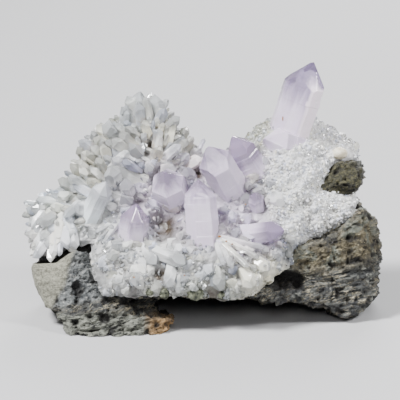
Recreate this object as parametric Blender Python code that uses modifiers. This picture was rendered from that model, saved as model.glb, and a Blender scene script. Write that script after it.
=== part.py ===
"""Amethyst specimen: a broken block of rock, the quartz crust that grew over its front, and the large crystals.

Everything is drawn in the plane of the specimen's face and then stood up. A point is (across, up, toward):
millimetres to the right of the middle, up the face, and toward whoever looks at it. Toward is 0 at the front of
the lowest flake of rock, so most of the specimen has a negative value there.
"""

import math
import random

import bmesh
import bpy
from mathutils import Matrix, Vector, noise

MM = 0.001

# How the specimen stands: its face leans back, and its front is this far before the origin, under its middle.
LEAN = math.radians(75)
FRONT = 28.4
GROUND_NORMAL = Vector((0.0, math.sin(LEAN), math.cos(LEAN)))

# Quartz crust. Its face starts this far toward the viewer at the bottom, falls back by the slope on the way up,
# and turns back at its left and right ends.
FACE_START = 8.8
FACE_SLOPE = 0.56
FACE_HALF_WIDTH = 48.0
TURNED_BACK_LEFT = 8.0
TURNED_BACK_RIGHT = 14.0
SLOPE_STEP = 0.8
CRUST_THICKNESS = 13.0
CRUST_EDGE_THICKNESS = 3.0
EDGE_ROLL = 6.0
CLEARANCE = 0.3
ROCK_CLEARANCE = 0.4
CRUST_CELL = 2.4
CRUST_SHARE_KEPT = 0.42
# Unevenness of a surface: (waves per mm, height).
CRUST_WAVES = [(0.31, 1.2), (0.8, 0.5)]

# Rock
ROCK_VOXEL = 1.3
ROCK_SHARE_KEPT = 0.075
LEDGE_HEIGHT = 3.4
LEDGE_DEPTH = 1.3
LEDGE_RISE_TO_RIGHT = 0.16
LEDGE_DIP_TO_BACK = 0.1
LEDGE_WAVES = (0.06, 0.5)
ROCK_WAVES = [(0.22, 1.2), (0.6, 0.48)]
WEATHERED_RIM = 4.0
LEAST_WEATHERED = 0.05

# Quartz: the pyramid faces lean 38 degrees from the long axis.
PYRAMID_ANGLE = math.radians(38.2)
PRISM_FOOT = 0.54
PRISM_TOP = 0.5

CRUST_OUTLINE = [
    (-47.6, 21.6), (-48.4, 27.0), (-48.6, 32.0), (-49.0, 36.0), (-46.5, 38.2), (-43.0, 40.2), (-39.0, 41.4),
    (-36.0, 46.0), (-34.0, 51.0), (-31.0, 55.0), (-27.5, 57.6), (-23.6, 59.6), (-21.0, 63.2), (-18.6, 65.8),
    (-15.6, 66.4), (-12.4, 65.8), (-10.0, 62.6), (-7.4, 58.6), (-5.0, 55.6), (-2.0, 53.2), (1.0, 51.0),
    (6.0, 51.4), (10.4, 54.2), (14.6, 58.0), (18.0, 60.6), (22.0, 60.8), (28.0, 60.6), (31.6, 59.6),
    (35.0, 57.2), (39.4, 55.4), (44.6, 53.2), (44.2, 47.0), (43.0, 41.0), (43.8, 36.4), (40.8, 31.0),
    (36.6, 29.2), (30.6, 26.6), (26.8, 24.6), (25.6, 19.6), (20.6, 16.8), (17.0, 13.6), (14.0, 11.2),
    (8.2, 10.0), (1.2, 10.6), (-4.2, 11.2), (-11.8, 11.0), (-21.6, 11.0), (-27.6, 11.4), (-29.2, 14.2),
    (-31.2, 20.0), (-31.0, 25.0), (-36.2, 25.4), (-40.0, 22.4),
]

# Where the crust swells or sinks: (across, up, reach, height toward the viewer).
CRUST_MOUNDS = [
    (-16.5, 56.0, 9.0, 3.5),
    (-30.0, 46.0, 8.0, 2.0),
    (-42.0, 32.0, 7.0, 2.5),
    (-23.0, 19.0, 8.0, 3.5),
    (-1.0, 27.0, 9.0, 4.5),
    (13.0, 22.0, 9.0, 3.0),
    (28.0, 42.0, 10.0, 4.0),
    (24.0, 53.0, 7.0, 2.5),
    (-12.0, 31.0, 4.5, -3.5),
    (-5.0, 51.0, 5.0, -4.0),
    (8.0, 37.0, 5.0, -1.5),
    (31.0, 33.0, 5.0, -1.5),
]

# Blocks of rock: outline (across, up), the depth span (toward) and the planes that broke its corners off.
# A plane is (a point on it, its outward normal), both (across, up, toward).
BODY_OUTLINE = [
    (-46.0, 13.0), (-46.2, 34.0), (-38.0, 37.0), (-32.0, 48.0), (-24.0, 55.0), (-16.0, 60.4), (-10.0, 57.0),
    (-4.0, 50.0), (3.0, 47.0), (10.0, 50.0), (17.0, 56.4), (29.0, 56.0), (38.0, 52.0), (43.4, 49.4), (42.0, 41.0),
    (46.4, 34.0), (49.0, 26.0), (49.0, 12.0), (40.0, 5.4), (28.0, 9.4), (8.0, 11.4), (-12.0, 11.4), (-30.0, 10.6),
    (-42.0, 8.0),
]
LEFT_BLOCK_OUTLINE = [
    (-48.0, 20.4), (-47.5, 17.0), (-46.2, 13.6), (-44.2, 9.4), (-41.6, 7.0), (-38.4, 6.6), (-33.0, 8.4),
    (-27.0, 9.8), (-28.6, 14.0), (-31.6, 19.4), (-31.6, 23.8), (-36.0, 24.0), (-40.0, 21.2),
]
RIGHT_BLOCK_OUTLINE = [
    (27.0, 9.8), (33.5, 7.4), (38.2, 5.4), (40.2, 4.7), (43.4, 6.2), (47.0, 9.0), (49.3, 11.4), (49.2, 18.0),
    (50.0, 20.6), (49.8, 28.4), (48.6, 31.8), (46.8, 32.4), (44.8, 36.6), (41.6, 31.2), (36.0, 28.4),
    (30.0, 26.0), (26.0, 24.0), (25.0, 19.4), (20.0, 17.4), (25.6, 14.0), (27.0, 12.0),
]
LEDGE_OUTLINE = [(14.6, 10.6), (19.0, 9.8), (28.4, 9.2), (30.0, 12.4), (24.0, 12.2), (16.0, 12.4)]
FLAKE_OUTLINE = [
    (-39.4, 6.4), (-37.2, 0.6), (-35.1, -1.0), (-12.0, -1.0), (-10.2, 2.6), (-7.1, 4.2), (-9.1, 5.4),
    (-14.1, 6.2), (-21.7, 8.2), (-27.0, 8.7), (-34.0, 7.8),
]
FLAKE_ROOT_OUTLINE = [(-37.0, -2.0), (-13.0, -2.0), (-14.0, 14.0), (-36.0, 14.0)]
FOOT_OUTLINE = [(-31.0, -6.0), (36.0, -6.0), (40.0, 16.0), (-38.0, 16.0)]
WINDOW_OUTLINE = [(34.4, 41.6), (36.8, 40.6), (45.0, 41.6), (45.4, 47.4), (42.0, 49.2), (36.6, 48.0)]

FRONT_PLANES = [
    ((0.0, 10.0, -2.2), (0.0, 0.56, 1.0)),
    ((-24.0, 10.0, -3.8), (-0.25, 0.56, 1.0)),
    ((24.0, 10.0, -5.3), (0.44, 0.56, 1.0)),
]
BACK_PLANES = [
    ((0.0, 0.0, -59.0), (0.02, -0.52, -1.0)),
    ((0.0, 30.0, -47.0), (0.06, 0.12, -1.0)),
    ((-38.0, 20.0, -40.0), (-0.9, 0.1, -0.8)),
    ((38.0, 20.0, -46.0), (0.8, -0.1, -0.9)),
    ((18.0, 48.0, -47.0), (0.15, 0.6, -0.8)),
    ((-20.0, 48.0, -44.0), (-0.45, 0.5, -0.8)),
]
ROCK_BLOCKS = [
    ("body", BODY_OUTLINE, 4.0, -62.0, [*FRONT_PLANES, *BACK_PLANES]),
    (
        "left_block",
        LEFT_BLOCK_OUTLINE,
        -4.0,
        -40.0,
        [((-40.0, 14.0, -6.4), (-0.30, 0.12, 1.0)), ((-36.5, 14.0, -6.8), (0.36, -0.06, 1.0)), BACK_PLANES[2]],
    ),
    (
        "right_block",
        RIGHT_BLOCK_OUTLINE,
        -8.0,
        -44.0,
        [((38.0, 16.0, -11.4), (0.10, -0.10, 1.0)), ((48.0, 20.0, -15.0), (1.0, 0.1, 0.8)), BACK_PLANES[3]],
    ),
    ("ledge", LEDGE_OUTLINE, -10.0, -30.0, []),
    ("flake", FLAKE_OUTLINE, 0.0, -30.0, [((-20.0, 3.0, -1.2), (0.12, 0.42, 1.0)), ((-38.0, 4.0, -3.0), (-0.7, 0.0, 0.7))]),
    ("flake_root", FLAKE_ROOT_OUTLINE, -13.5, -46.0, [BACK_PLANES[0], BACK_PLANES[2]]),
    ("foot", FOOT_OUTLINE, -38.0, -62.0, BACK_PLANES[:4]),
    ("window", WINDOW_OUTLINE, -21.0, -40.0, [((40.0, 45.0, -24.2), (0.3, 0.5, 1.0))]),
]

# The large crystals. Each is (name, tip, root, width, flatness, turn, unevenness of its point, seed).
LARGE_CRYSTALS = [
    ("main_amethyst_point", (31.4, 76.7, -25.0), (22.8, 50.0, -30.5), 10.4, 0.86, 14.0, 1.6, 3),
    ("centre_amethyst_point", (2.6, 50.4, -7.0), (9.4, 39.4, -19.0), 9.2, 0.94, 22.0, 1.2, 4),
    ("leaning_amethyst_point", (7.8, 55.6, -16.5), (16.8, 42.4, -23.0), 7.0, 0.9, 4.0, 1.3, 8),
    ("round_amethyst_point", (-10.4, 44.6, -6.6), (-7.8, 36.6, -18.0), 9.2, 0.96, 10.0, 0.9, 6),
    ("tall_amethyst_point", (-1.0, 43.6, -6.5), (0.4, 21.6, -9.0), 7.6, 0.9, 27.0, 1.1, 7),
    ("faceted_amethyst_point", (-18.2, 36.8, -5.6), (-20.4, 22.2, -12.0), 7.8, 0.95, 0.0, 1.4, 5),
    ("clear_quartz_point", (-26.6, 42.8, -11.0), (-33.6, 26.8, -15.5), 5.2, 0.85, 12.0, 1.0, 12),
    ("lying_amethyst_point", (22.8, 29.4, -5.0), (8.4, 27.4, -12.0), 6.2, 0.85, 24.0, 1.1, 9),
    ("small_amethyst_point", (14.6, 40.0, -11.5), (15.8, 32.6, -18.0), 4.6, 0.9, 16.0, 1.0, 10),
]
# A short crystal grown into the foot of the main one.
MAIN_COMPANION = ((17.4, 55.4, -20.0), (27.6, 51.6, -29.0), 9.0, 0.9, 40.0, 1.0, 11)

# Crystals of middling size, fused in the crust: (tip, root, width, flatness).
MIDDLE_CRYSTALS = [
    ((-17.4, 68.5, -25.4), (-20.0, 57.0, -27.5), 4.8, 0.7),
    ((-13.4, 67.8, -25.0), (-11.6, 57.0, -27.0), 4.6, 0.8),
    ((-21.4, 64.6, -24.0), (-22.0, 54.0, -26.5), 4.0, 0.7),
    ((-28.6, 58.8, -20.6), (-23.0, 55.0, -25.0), 4.2, 0.8),
    ((-25.0, 60.0, -22.0), (-23.0, 54.0, -26.0), 3.8, 0.8),
    ((-15.4, 45.4, -13.0), (-27.0, 48.0, -19.0), 4.6, 0.6),
    ((-22.0, 43.6, -12.0), (-20.4, 38.0, -17.5), 4.2, 0.9),
    ((-5.6, 51.6, -20.0), (-11.0, 47.0, -24.0), 3.4, 0.8),
    ((-4.4, 46.8, -14.0), (-3.0, 41.6, -19.5), 3.6, 0.9),
    ((-23.4, 19.0, -4.6), (-20.4, 25.0, -10.0), 6.0, 0.9),
    ((17.0, 20.6, -4.2), (8.0, 25.0, -10.0), 3.6, 0.8),
    ((14.4, 17.6, -3.6), (6.6, 24.0, -9.6), 3.4, 0.8),
    ((18.6, 23.6, -5.0), (9.0, 26.0, -11.0), 3.2, 0.8),
    ((10.0, 16.2, -3.2), (4.6, 22.6, -9.0), 3.2, 0.8),
    ((-42.6, 39.4, -16.0), (-36.0, 35.0, -19.0), 4.0, 0.6),
    ((-49.6, 35.6, -18.0), (-42.0, 33.0, -20.0), 3.6, 0.7),
    ((-38.6, 33.0, -9.6), (-33.6, 37.0, -17.0), 3.2, 0.7),
    ((-8.6, 20.0, -1.6), (-8.0, 26.0, -8.0), 4.4, 0.9),
    ((38.8, 51.2, -23.0), (36.8, 46.0, -28.0), 4.2, 0.9),
    ((-12.8, 51.6, -17.0), (-13.6, 46.0, -21.5), 3.2, 0.9),
]

# Zones of small crystals fused in the crust: (lowest corner, highest corner, how many, width, length, outward pull).
GROWTH_CENTRE = Vector((-15.0, 34.0))
SMALL_ZONES = [
    ((-48.5, 34.0), (0.0, 67.0), 40, (2.8, 4.4), (7.0, 10.0), 0.75),
    ((-47.0, 22.0), (-28.0, 36.0), 8, (2.8, 4.0), (5.0, 8.0), 0.35),
    ((-30.0, 12.0), (24.0, 46.0), 20, (2.8, 4.6), (4.4, 7.0), 0.15),
    ((14.0, 28.0), (44.0, 60.0), 14, (2.6, 4.0), (3.6, 5.4), 0.25),
]
SMALL_CRYSTAL_SPACING = 3.8
SMALL_CRYSTAL_SWAY = 0.45
SMALL_CRYSTAL_SHOWN = 0.6
SMALL_CRYSTAL_ROOT = 1.5
MOST_TRIES = 4000
SMALL_CRYSTAL_SEED = 29

MATERIALS = {
    "matrix_rock": ((0.20, 0.19, 0.165), 0.9),
    "white_quartz": ((0.78, 0.77, 0.80), 0.35),
    "amethyst": ((0.66, 0.58, 0.74), 0.12),
    "clear_quartz": ((0.80, 0.80, 0.83), 0.12),
}


def clear_scene():
    for thing in list(bpy.data.objects):
        bpy.data.objects.remove(thing)


def new_collection(name):
    made = bpy.data.collections.new(name)
    bpy.context.scene.collection.children.link(made)
    return made


def new_material(name):
    colour, roughness = MATERIALS[name]
    made = bpy.data.materials.new(name)
    made.use_nodes = True
    shader = made.node_tree.nodes["Principled BSDF"]
    shader.inputs["Base Color"].default_value = (*colour, 1.0)
    shader.inputs["Roughness"].default_value = roughness
    shader.inputs["Metallic"].default_value = 0.0
    return made


def new_stand(collection):
    """The empty that stands the face's plane up on the ground."""
    made = bpy.data.objects.new("stand", None)
    made.location = (0.0, -FRONT * MM, 0.0)
    made.rotation_euler = (LEAN, 0.0, 0.0)
    collection.objects.link(made)


def to_object(bm, name, collection, material=None):
    """A mesh drawn in millimetres in the face's plane, as an object in metres on the stand."""
    bmesh.ops.recalc_face_normals(bm, faces=bm.faces)
    bmesh.ops.scale(bm, vec=(MM, MM, MM), verts=bm.verts)
    mesh = bpy.data.meshes.new(name)
    bm.to_mesh(mesh)
    bm.free()
    made = bpy.data.objects.new(name, mesh)
    collection.objects.link(made)
    made.parent = bpy.data.objects["stand"]
    if material:
        mesh.materials.append(material)
    return made


def as_cutter(obj):
    obj.hide_render = True
    obj.display_type = "WIRE"
    return obj


def boolean(obj, other, operation, self_crossing=False):
    made = obj.modifiers.new(operation.lower(), "BOOLEAN")
    made.operation = operation
    made.solver = "EXACT"
    made.object = other
    made.use_self = self_crossing
    return made


def apply_modifiers(obj):
    """Puts the object's evaluated mesh in place of its mesh."""
    bpy.context.view_layer.update()
    graph = bpy.context.evaluated_depsgraph_get()
    mesh = bpy.data.meshes.new_from_object(obj.evaluated_get(graph))
    obj.modifiers.clear()
    obj.data = mesh


def decimate(obj, share):
    made = obj.modifiers.new("fewer_faces", "DECIMATE")
    made.ratio = share
    apply_modifiers(obj)


# Shapes shared by the rock and the crust


def inside(point, outline):
    """True if the point is inside the closed outline."""
    x, y = point
    found = False
    for (ax, ay), (bx, by) in zip(outline, outline[1:] + outline[:1]):
        if (ay > y) != (by > y) and x < ax + (y - ay) * (bx - ax) / (by - ay):
            found = not found
    return found


def nearest_on(point, outline):
    """The nearest point on the outline, and how far it is."""
    here = Vector(point)
    best, gap = None, math.inf
    for a, b in zip(outline, outline[1:] + outline[:1]):
        start, run = Vector(a), Vector(b) - Vector(a)
        share = max(0.0, min(1.0, (here - start).dot(run) / run.length_squared))
        there = start + run * share
        if (there - here).length < gap:
            best, gap = there, (there - here).length
    return best, gap


def uneven(point, waves):
    """Height of the waves, a list of (waves per mm, height), at the point."""
    return sum(height * noise.noise(point * pace) for pace, height in waves)


def crust_plain_depth(across, up):
    """The crust's surface without its rolled edge: a slope that turns back at both ends, with its mounds."""
    turned_back = TURNED_BACK_LEFT if across < 0 else TURNED_BACK_RIGHT
    toward = FACE_START - FACE_SLOPE * up - turned_back * (across / FACE_HALF_WIDTH) ** 2
    for x, y, reach, height in CRUST_MOUNDS:
        toward += height * math.exp(-((across - x) ** 2 + (up - y) ** 2) / reach**2)
    return toward


def crust_depth(across, up):
    """The crust's outer surface, rolled back along its outline, as an amount toward the viewer."""
    toward = crust_plain_depth(across, up)
    gap = nearest_on((across, up), CRUST_OUTLINE)[1]
    if not inside((across, up), CRUST_OUTLINE):
        gap = 0.0
    if gap < EDGE_ROLL:
        toward -= EDGE_ROLL - math.sqrt(EDGE_ROLL**2 - (EDGE_ROLL - gap) ** 2)
    return toward


def crust_normal(across, up):
    """Which way is out of the crust at a place."""
    step = SLOPE_STEP
    slope_x = (crust_depth(across + step, up) - crust_depth(across - step, up)) / (2 * step)
    slope_y = (crust_depth(across, up + step) - crust_depth(across, up - step)) / (2 * step)
    return Vector((-slope_x, -slope_y, 1.0)).normalized()


# Crystals


def crystal_mesh(length, width, flatness, unevenness, seed, faces=6):
    """A six-sided quartz prism along +Z with its point at the origin, cut to shape by its pyramid faces."""
    dice = random.Random(seed)
    bm = bmesh.new()
    bmesh.ops.create_cone(
        bm,
        cap_ends=True,
        segments=6,
        radius1=width * PRISM_FOOT,
        radius2=width * PRISM_TOP,
        depth=length,
        matrix=Matrix.Translation((0.0, 0.0, -length / 2)) @ Matrix.Rotation(math.radians(30), 4, "Z"),
    )
    for step in range(faces):
        around = math.tau * step / faces
        drop = 0.0 if step % 2 == 0 else -0.35 * unevenness
        drop -= dice.uniform(-0.3, 0.3) * unevenness * width / 10.0
        normal = Vector(
            (
                math.cos(PYRAMID_ANGLE) * math.cos(around),
                math.cos(PYRAMID_ANGLE) * math.sin(around),
                math.sin(PYRAMID_ANGLE),
            )
        )
        cut = bmesh.ops.bisect_plane(
            bm,
            geom=bm.verts[:] + bm.edges[:] + bm.faces[:],
            plane_co=Vector((0.0, 0.0, -drop * 0.4)),
            plane_no=normal,
            clear_outer=True,
        )
        edges = [e for e in cut["geom_cut"] if isinstance(e, bmesh.types.BMEdge)]
        if edges:
            bmesh.ops.edgenet_fill(bm, edges=edges)
    highest = max(v.co.z for v in bm.verts)
    bmesh.ops.translate(bm, vec=(0.0, 0.0, -highest), verts=bm.verts)
    bmesh.ops.scale(bm, vec=(1.0, flatness, 1.0), verts=bm.verts)
    bmesh.ops.recalc_face_normals(bm, faces=bm.faces)
    return bm


def axis_matrix(tip, root, turn=0.0):
    """Puts +Z along root to tip, with the origin at the tip."""
    direction = Vector(tip) - Vector(root)
    return (
        Matrix.Translation(Vector(tip))
        @ direction.to_track_quat("Z", "Y").to_matrix().to_4x4()
        @ Matrix.Rotation(math.radians(turn), 4, "Z")
    )


def placed_crystal(tip, root, width, flatness=0.9, turn=0.0, unevenness=1.0, seed=0, faces=6):
    length = (Vector(tip) - Vector(root)).length
    bm = crystal_mesh(length, width, flatness, unevenness, seed, faces)
    bmesh.ops.transform(bm, matrix=axis_matrix(tip, root, turn), verts=bm.verts)
    return bm


def add_to(bm, other):
    """Adds the other bmesh's shapes to bm."""
    mesh = bpy.data.meshes.new("shape")
    other.to_mesh(mesh)
    other.free()
    bm.from_mesh(mesh)
    bpy.data.meshes.remove(mesh)


def small_crystal_places():
    """(tip, root, width, seed) of the small crystals, scattered a little apart over the crust."""
    dice = random.Random(SMALL_CRYSTAL_SEED)
    taken = [Vector(root[:2]) for _, root, _, _ in MIDDLE_CRYSTALS]
    places = []
    for low, high, count, widths, lengths, pull in SMALL_ZONES:
        made, tries = 0, 0
        while made < count and tries < MOST_TRIES:
            tries += 1
            spot = Vector((dice.uniform(low[0], high[0]), dice.uniform(low[1], high[1])))
            if not inside(spot, CRUST_OUTLINE) or any((spot - other).length < SMALL_CRYSTAL_SPACING for other in taken):
                continue
            taken.append(spot)
            made += 1
            foot = Vector((*spot, crust_depth(*spot)))
            outward = (spot - GROWTH_CENTRE).normalized().to_3d() * pull
            sway = Vector((dice.uniform(-1, 1), dice.uniform(-1, 1), dice.uniform(-1, 1))) * SMALL_CRYSTAL_SWAY
            direction = (crust_normal(*spot) + outward + sway).normalized()
            length = dice.uniform(*lengths)
            tip = foot + direction * length * SMALL_CRYSTAL_SHOWN
            places.append((tip, tip - direction * (length + SMALL_CRYSTAL_ROOT), dice.uniform(*widths), dice.randrange(10**6)))
    return places


def crystal_growth(collection):
    """The crust's own crystals, middling and small, as one mesh of crossing shapes."""
    bm = bmesh.new()
    for number, (tip, root, width, flatness) in enumerate(MIDDLE_CRYSTALS):
        add_to(bm, placed_crystal(tip, root, width, flatness, turn=37.0 * number, seed=number))
    for tip, root, width, seed in small_crystal_places():
        add_to(bm, placed_crystal(tip, root, width, 0.75, turn=seed % 60, unevenness=0.8, seed=seed, faces=3))
    return as_cutter(to_object(bm, "crystal_growth", collection))


# Crust


def crust_bed(collection):
    """The crust's bed: a sheet shaped to the outline, lifted to its surface in front and flat behind."""
    bm = bmesh.new()
    xs, ys = [p[0] for p in CRUST_OUTLINE], [p[1] for p in CRUST_OUTLINE]
    wide, high = max(xs) - min(xs), max(ys) - min(ys)
    bmesh.ops.create_grid(
        bm,
        x_segments=round(wide / CRUST_CELL),
        y_segments=round(high / CRUST_CELL),
        size=0.5,
        matrix=Matrix.Translation(((max(xs) + min(xs)) / 2, (max(ys) + min(ys)) / 2, 0.0))
        @ Matrix.Diagonal((wide + CRUST_CELL, high + CRUST_CELL, 1.0, 1.0)),
    )
    out = {v for v in bm.verts if not inside(v.co.xy, CRUST_OUTLINE)}
    bmesh.ops.delete(bm, geom=[f for f in bm.faces if all(v in out for v in f.verts)], context="FACES")
    for v in bm.verts:
        if not inside(v.co.xy, CRUST_OUTLINE):
            v.co.xy = nearest_on(v.co.xy, CRUST_OUTLINE)[0]
    bmesh.ops.remove_doubles(bm, verts=bm.verts, dist=0.5)
    back = bmesh.ops.extrude_face_region(bm, geom=bm.faces[:])
    behind = {v for v in back["geom"] if isinstance(v, bmesh.types.BMVert)}
    for v in bm.verts:
        rough = uneven(v.co.xyz, CRUST_WAVES)
        if v in behind:
            gap = nearest_on(v.co.xy, CRUST_OUTLINE)[1]
            inner = CRUST_THICKNESS - CRUST_EDGE_THICKNESS
            v.co.z = crust_depth(*v.co.xy) - CRUST_EDGE_THICKNESS - inner * min(1.0, gap / EDGE_ROLL)
        else:
            v.co.z = crust_depth(*v.co.xy) + rough
    made = to_object(bm, "quartz_crust", collection, bpy.data.materials["white_quartz"])
    decimate(made, CRUST_SHARE_KEPT)
    return made


def largest_body(obj):
    """Removes the crumbs that a cut has left, and keeps the largest body."""
    bm = bmesh.new()
    bm.from_mesh(obj.data)
    bmesh.ops.remove_doubles(bm, verts=bm.verts, dist=0.00001)
    left, bodies = set(bm.verts), []
    while left:
        group, edge = set(), [left.pop()]
        while edge:
            v = edge.pop()
            group.add(v)
            for e in v.link_edges:
                other = e.other_vert(v)
                if other in left:
                    left.discard(other)
                    edge.append(other)
        bodies.append(group)
    bodies.sort(key=len)
    for group in bodies[:-1]:
        bmesh.ops.delete(bm, geom=list(group), context="VERTS")
    bm.to_mesh(obj.data)
    bm.free()


# Rock


def rock_block(outline, front, back, planes):
    """A block of rock: its outline pushed back through its depth, with its corners broken off flat."""
    bm = bmesh.new()
    face = bm.faces.new([bm.verts.new((*point, front)) for point in outline])
    bmesh.ops.triangulate(bm, faces=[face])
    pushed = bmesh.ops.extrude_face_region(bm, geom=bm.faces[:])
    bmesh.ops.translate(
        bm, vec=(0.0, 0.0, back - front), verts=[v for v in pushed["geom"] if isinstance(v, bmesh.types.BMVert)]
    )
    for point, normal in planes:
        break_off(bm, Vector(point), Vector(normal).normalized())
    bmesh.ops.recalc_face_normals(bm, faces=bm.faces)
    return bm


def break_off(bm, point, normal):
    cut = bmesh.ops.bisect_plane(
        bm, geom=bm.verts[:] + bm.edges[:] + bm.faces[:], plane_co=point, plane_no=normal, clear_outer=True
    )
    edges = [e for e in cut["geom_cut"] if isinstance(e, bmesh.types.BMEdge)]
    if edges:
        bmesh.ops.triangle_fill(bm, use_beauty=True, use_dissolve=False, edges=edges)


def rock(collection):
    """The rock: its blocks run together, weathered into ledges and pits, and cut flat where it rests."""
    bm = bmesh.new()
    for _, outline, front, back, planes in ROCK_BLOCKS:
        add_to(bm, rock_block(outline, front, back, planes))
    made = to_object(bm, "matrix_rock", collection, bpy.data.materials["matrix_rock"])
    even_mesh(made)
    weather(made)
    even_mesh(made)
    decimate(made, ROCK_SHARE_KEPT)
    cut_flat(made)
    return made


def even_mesh(obj):
    remesh = obj.modifiers.new("even_mesh", "REMESH")
    remesh.mode = "VOXEL"
    remesh.voxel_size = ROCK_VOXEL * MM
    apply_modifiers(obj)


def weather(obj):
    """Ledges along the rock's slanting layers, and rough pits, by moving each vertex along its normal.

    The face that the crust covers stays nearly plain.
    """
    mesh = obj.data
    normals = [v.normal.copy() for v in mesh.vertices]
    for v, normal in zip(mesh.vertices, normals):
        place = v.co / MM
        across, up, toward = place
        slanted = up - LEDGE_RISE_TO_RIGHT * across + LEDGE_DIP_TO_BACK * toward
        layer = slanted / LEDGE_HEIGHT + uneven(place, [LEDGE_WAVES])
        ledge = LEDGE_DEPTH * (2.0 * abs(layer - math.floor(layer + 0.5)) - 0.5)
        pits = uneven(place, ROCK_WAVES)
        bare = 1.0
        if normal.z > 0.1 and inside((across, up), CRUST_OUTLINE):
            bare = max(LEAST_WEATHERED, 1.0 - nearest_on((across, up), CRUST_OUTLINE)[1] / WEATHERED_RIM)
        v.co += normal * (ledge + pits) * bare * MM
    mesh.update()


def cut_flat(obj):
    """Cuts the rock off flat at the ground, which leaves the spots that it stands on."""
    bm = bmesh.new()
    bm.from_mesh(obj.data)
    break_off(bm, Vector((0.0, 0.0, 0.0)), -GROUND_NORMAL)
    bmesh.ops.dissolve_degenerate(bm, edges=bm.edges, dist=0.00005)
    bmesh.ops.recalc_face_normals(bm, faces=bm.faces)
    bm.to_mesh(obj.data)
    bm.free()


def grown(obj, name, cutters, amount=CLEARANCE):
    """A copy of the object, swollen by the clearance, as a cutter."""
    made = bpy.data.objects.new(name, obj.data.copy())
    cutters.objects.link(made)
    made.parent = obj.parent
    normals = [v.normal.copy() for v in made.data.vertices]
    for v, normal in zip(made.data.vertices, normals):
        v.co += normal * amount * MM
    return as_cutter(made)


def large_crystal(name, tip, root, width, flatness, turn, unevenness, seed, collection):
    material = bpy.data.materials["clear_quartz" if name.startswith("clear") else "amethyst"]
    bm = placed_crystal(tip, root, width, flatness, turn, unevenness, seed)
    return to_object(bm, name, collection, material)


def main():
    clear_scene()
    specimen = new_collection("amethyst_specimen")
    cutters = new_collection("cutters")
    for name in MATERIALS:
        new_material(name)
    new_stand(specimen)
    stone = rock(specimen)
    stone_room = grown(stone, "rock_clearance", cutters, ROCK_CLEARANCE)

    crystals = [large_crystal(*row, specimen) for row in LARGE_CRYSTALS]
    companion = as_cutter(to_object(placed_crystal(*MAIN_COMPANION), "main_companion", cutters))
    rooms = [grown(crystal, f"{crystal.name}_clearance", cutters) for crystal in [*crystals, companion]]
    boolean(crystals[0], companion, "UNION")
    apply_modifiers(crystals[0])
    for crystal in crystals:
        boolean(crystal, stone_room, "DIFFERENCE")
        apply_modifiers(crystal)
        largest_body(crystal)

    crust = crust_bed(specimen)
    boolean(crust, crystal_growth(cutters), "UNION", self_crossing=True)
    apply_modifiers(crust)
    boolean(crust, stone_room, "DIFFERENCE")
    for room in rooms:
        boolean(crust, room, "DIFFERENCE")
    apply_modifiers(crust)
    largest_body(crust)


main()
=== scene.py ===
# %% [markdown]
# # Amethyst points on a broken rock
# The specimen is a lump of dark layered rock. A crust of quartz has grown over its front, and out of the crust
# stand large pale violet crystals. It could be sculpted by hand, but crystals are flat faces at fixed angles, so
# cutting them from blocks with planes gives the right edges, and scattering them by rule gives a crust that looks
# grown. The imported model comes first, because every piece here has to sit on one of its solids.

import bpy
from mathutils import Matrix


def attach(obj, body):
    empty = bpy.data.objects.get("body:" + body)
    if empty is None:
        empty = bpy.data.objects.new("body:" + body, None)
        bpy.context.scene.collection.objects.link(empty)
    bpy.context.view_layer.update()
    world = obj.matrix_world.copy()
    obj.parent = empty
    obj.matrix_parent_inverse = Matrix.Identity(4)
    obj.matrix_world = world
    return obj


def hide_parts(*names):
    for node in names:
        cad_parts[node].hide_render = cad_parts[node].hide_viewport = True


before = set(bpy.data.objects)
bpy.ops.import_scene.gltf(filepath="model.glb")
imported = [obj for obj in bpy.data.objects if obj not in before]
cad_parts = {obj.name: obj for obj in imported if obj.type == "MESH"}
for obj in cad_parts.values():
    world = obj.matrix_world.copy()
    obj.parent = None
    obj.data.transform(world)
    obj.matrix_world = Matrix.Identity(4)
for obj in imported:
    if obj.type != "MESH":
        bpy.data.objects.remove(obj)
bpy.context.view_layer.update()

# %% [markdown]
# ## The plane of the face
# The specimen leans back a little, and its front is what everybody looks at. Drawing in that leaning plane is
# easier than drawing in the room: a point is (across, up, toward), in millimetres, and one matrix stands it up.
# Noise starts from the clock unless it gets a seed, and every build should give the same specimen.

# %% The face's own coordinates
import math
import random

import bmesh
import bpy
from mathutils import Matrix, Vector, noise
from mathutils.bvhtree import BVHTree

MM = 0.001
LEAN = math.radians(75)
FRONT = 28.4
STAND = Matrix.Translation((0.0, -FRONT * MM, 0.0)) @ Matrix.Rotation(LEAN, 4, "X") @ Matrix.Scale(MM, 4)
TO_FACE = STAND.inverted()
VIEWER = Vector((0.0, 0.0, 1.0))
NOISE_SEED = 7
noise.seed_set(NOISE_SEED)
print("middle of the face, m:", [round(value, 4) for value in STAND @ Vector((0.0, 38.0, -15.0))])

# %% [markdown]
# ## Camera, floor and light
# A long lens from a little over a metre keeps the crystals' edges parallel, as in a catalogue picture. It looks
# straight along the face's "toward". The floor is one pale sheet. Quartz shows itself by what it mirrors, so
# the lamps are small soft panels: large ones would fill every facet with the same grey.

# %% Camera
VIEW_WIDTH = 112.0
VIEW_MIDDLE = Vector((-0.7, 37.8, -15.0))
VIEW_DISTANCE = 1200.0
camera_data = bpy.data.cameras.new("camera")
camera_data.sensor_width = 36.0
camera_data.lens = camera_data.sensor_width * VIEW_DISTANCE / VIEW_WIDTH
camera_data.clip_start = 0.05
camera_data.clip_end = 50.0
camera = bpy.data.objects.new("camera", camera_data)
bpy.context.scene.collection.objects.link(camera)
camera.matrix_world = Matrix.Translation(STAND @ (VIEW_MIDDLE + VIEWER * VIEW_DISTANCE)) @ Matrix.Rotation(LEAN, 4, "X")
bpy.context.scene.camera = camera
print("lens, mm:", round(camera_data.lens))

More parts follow.
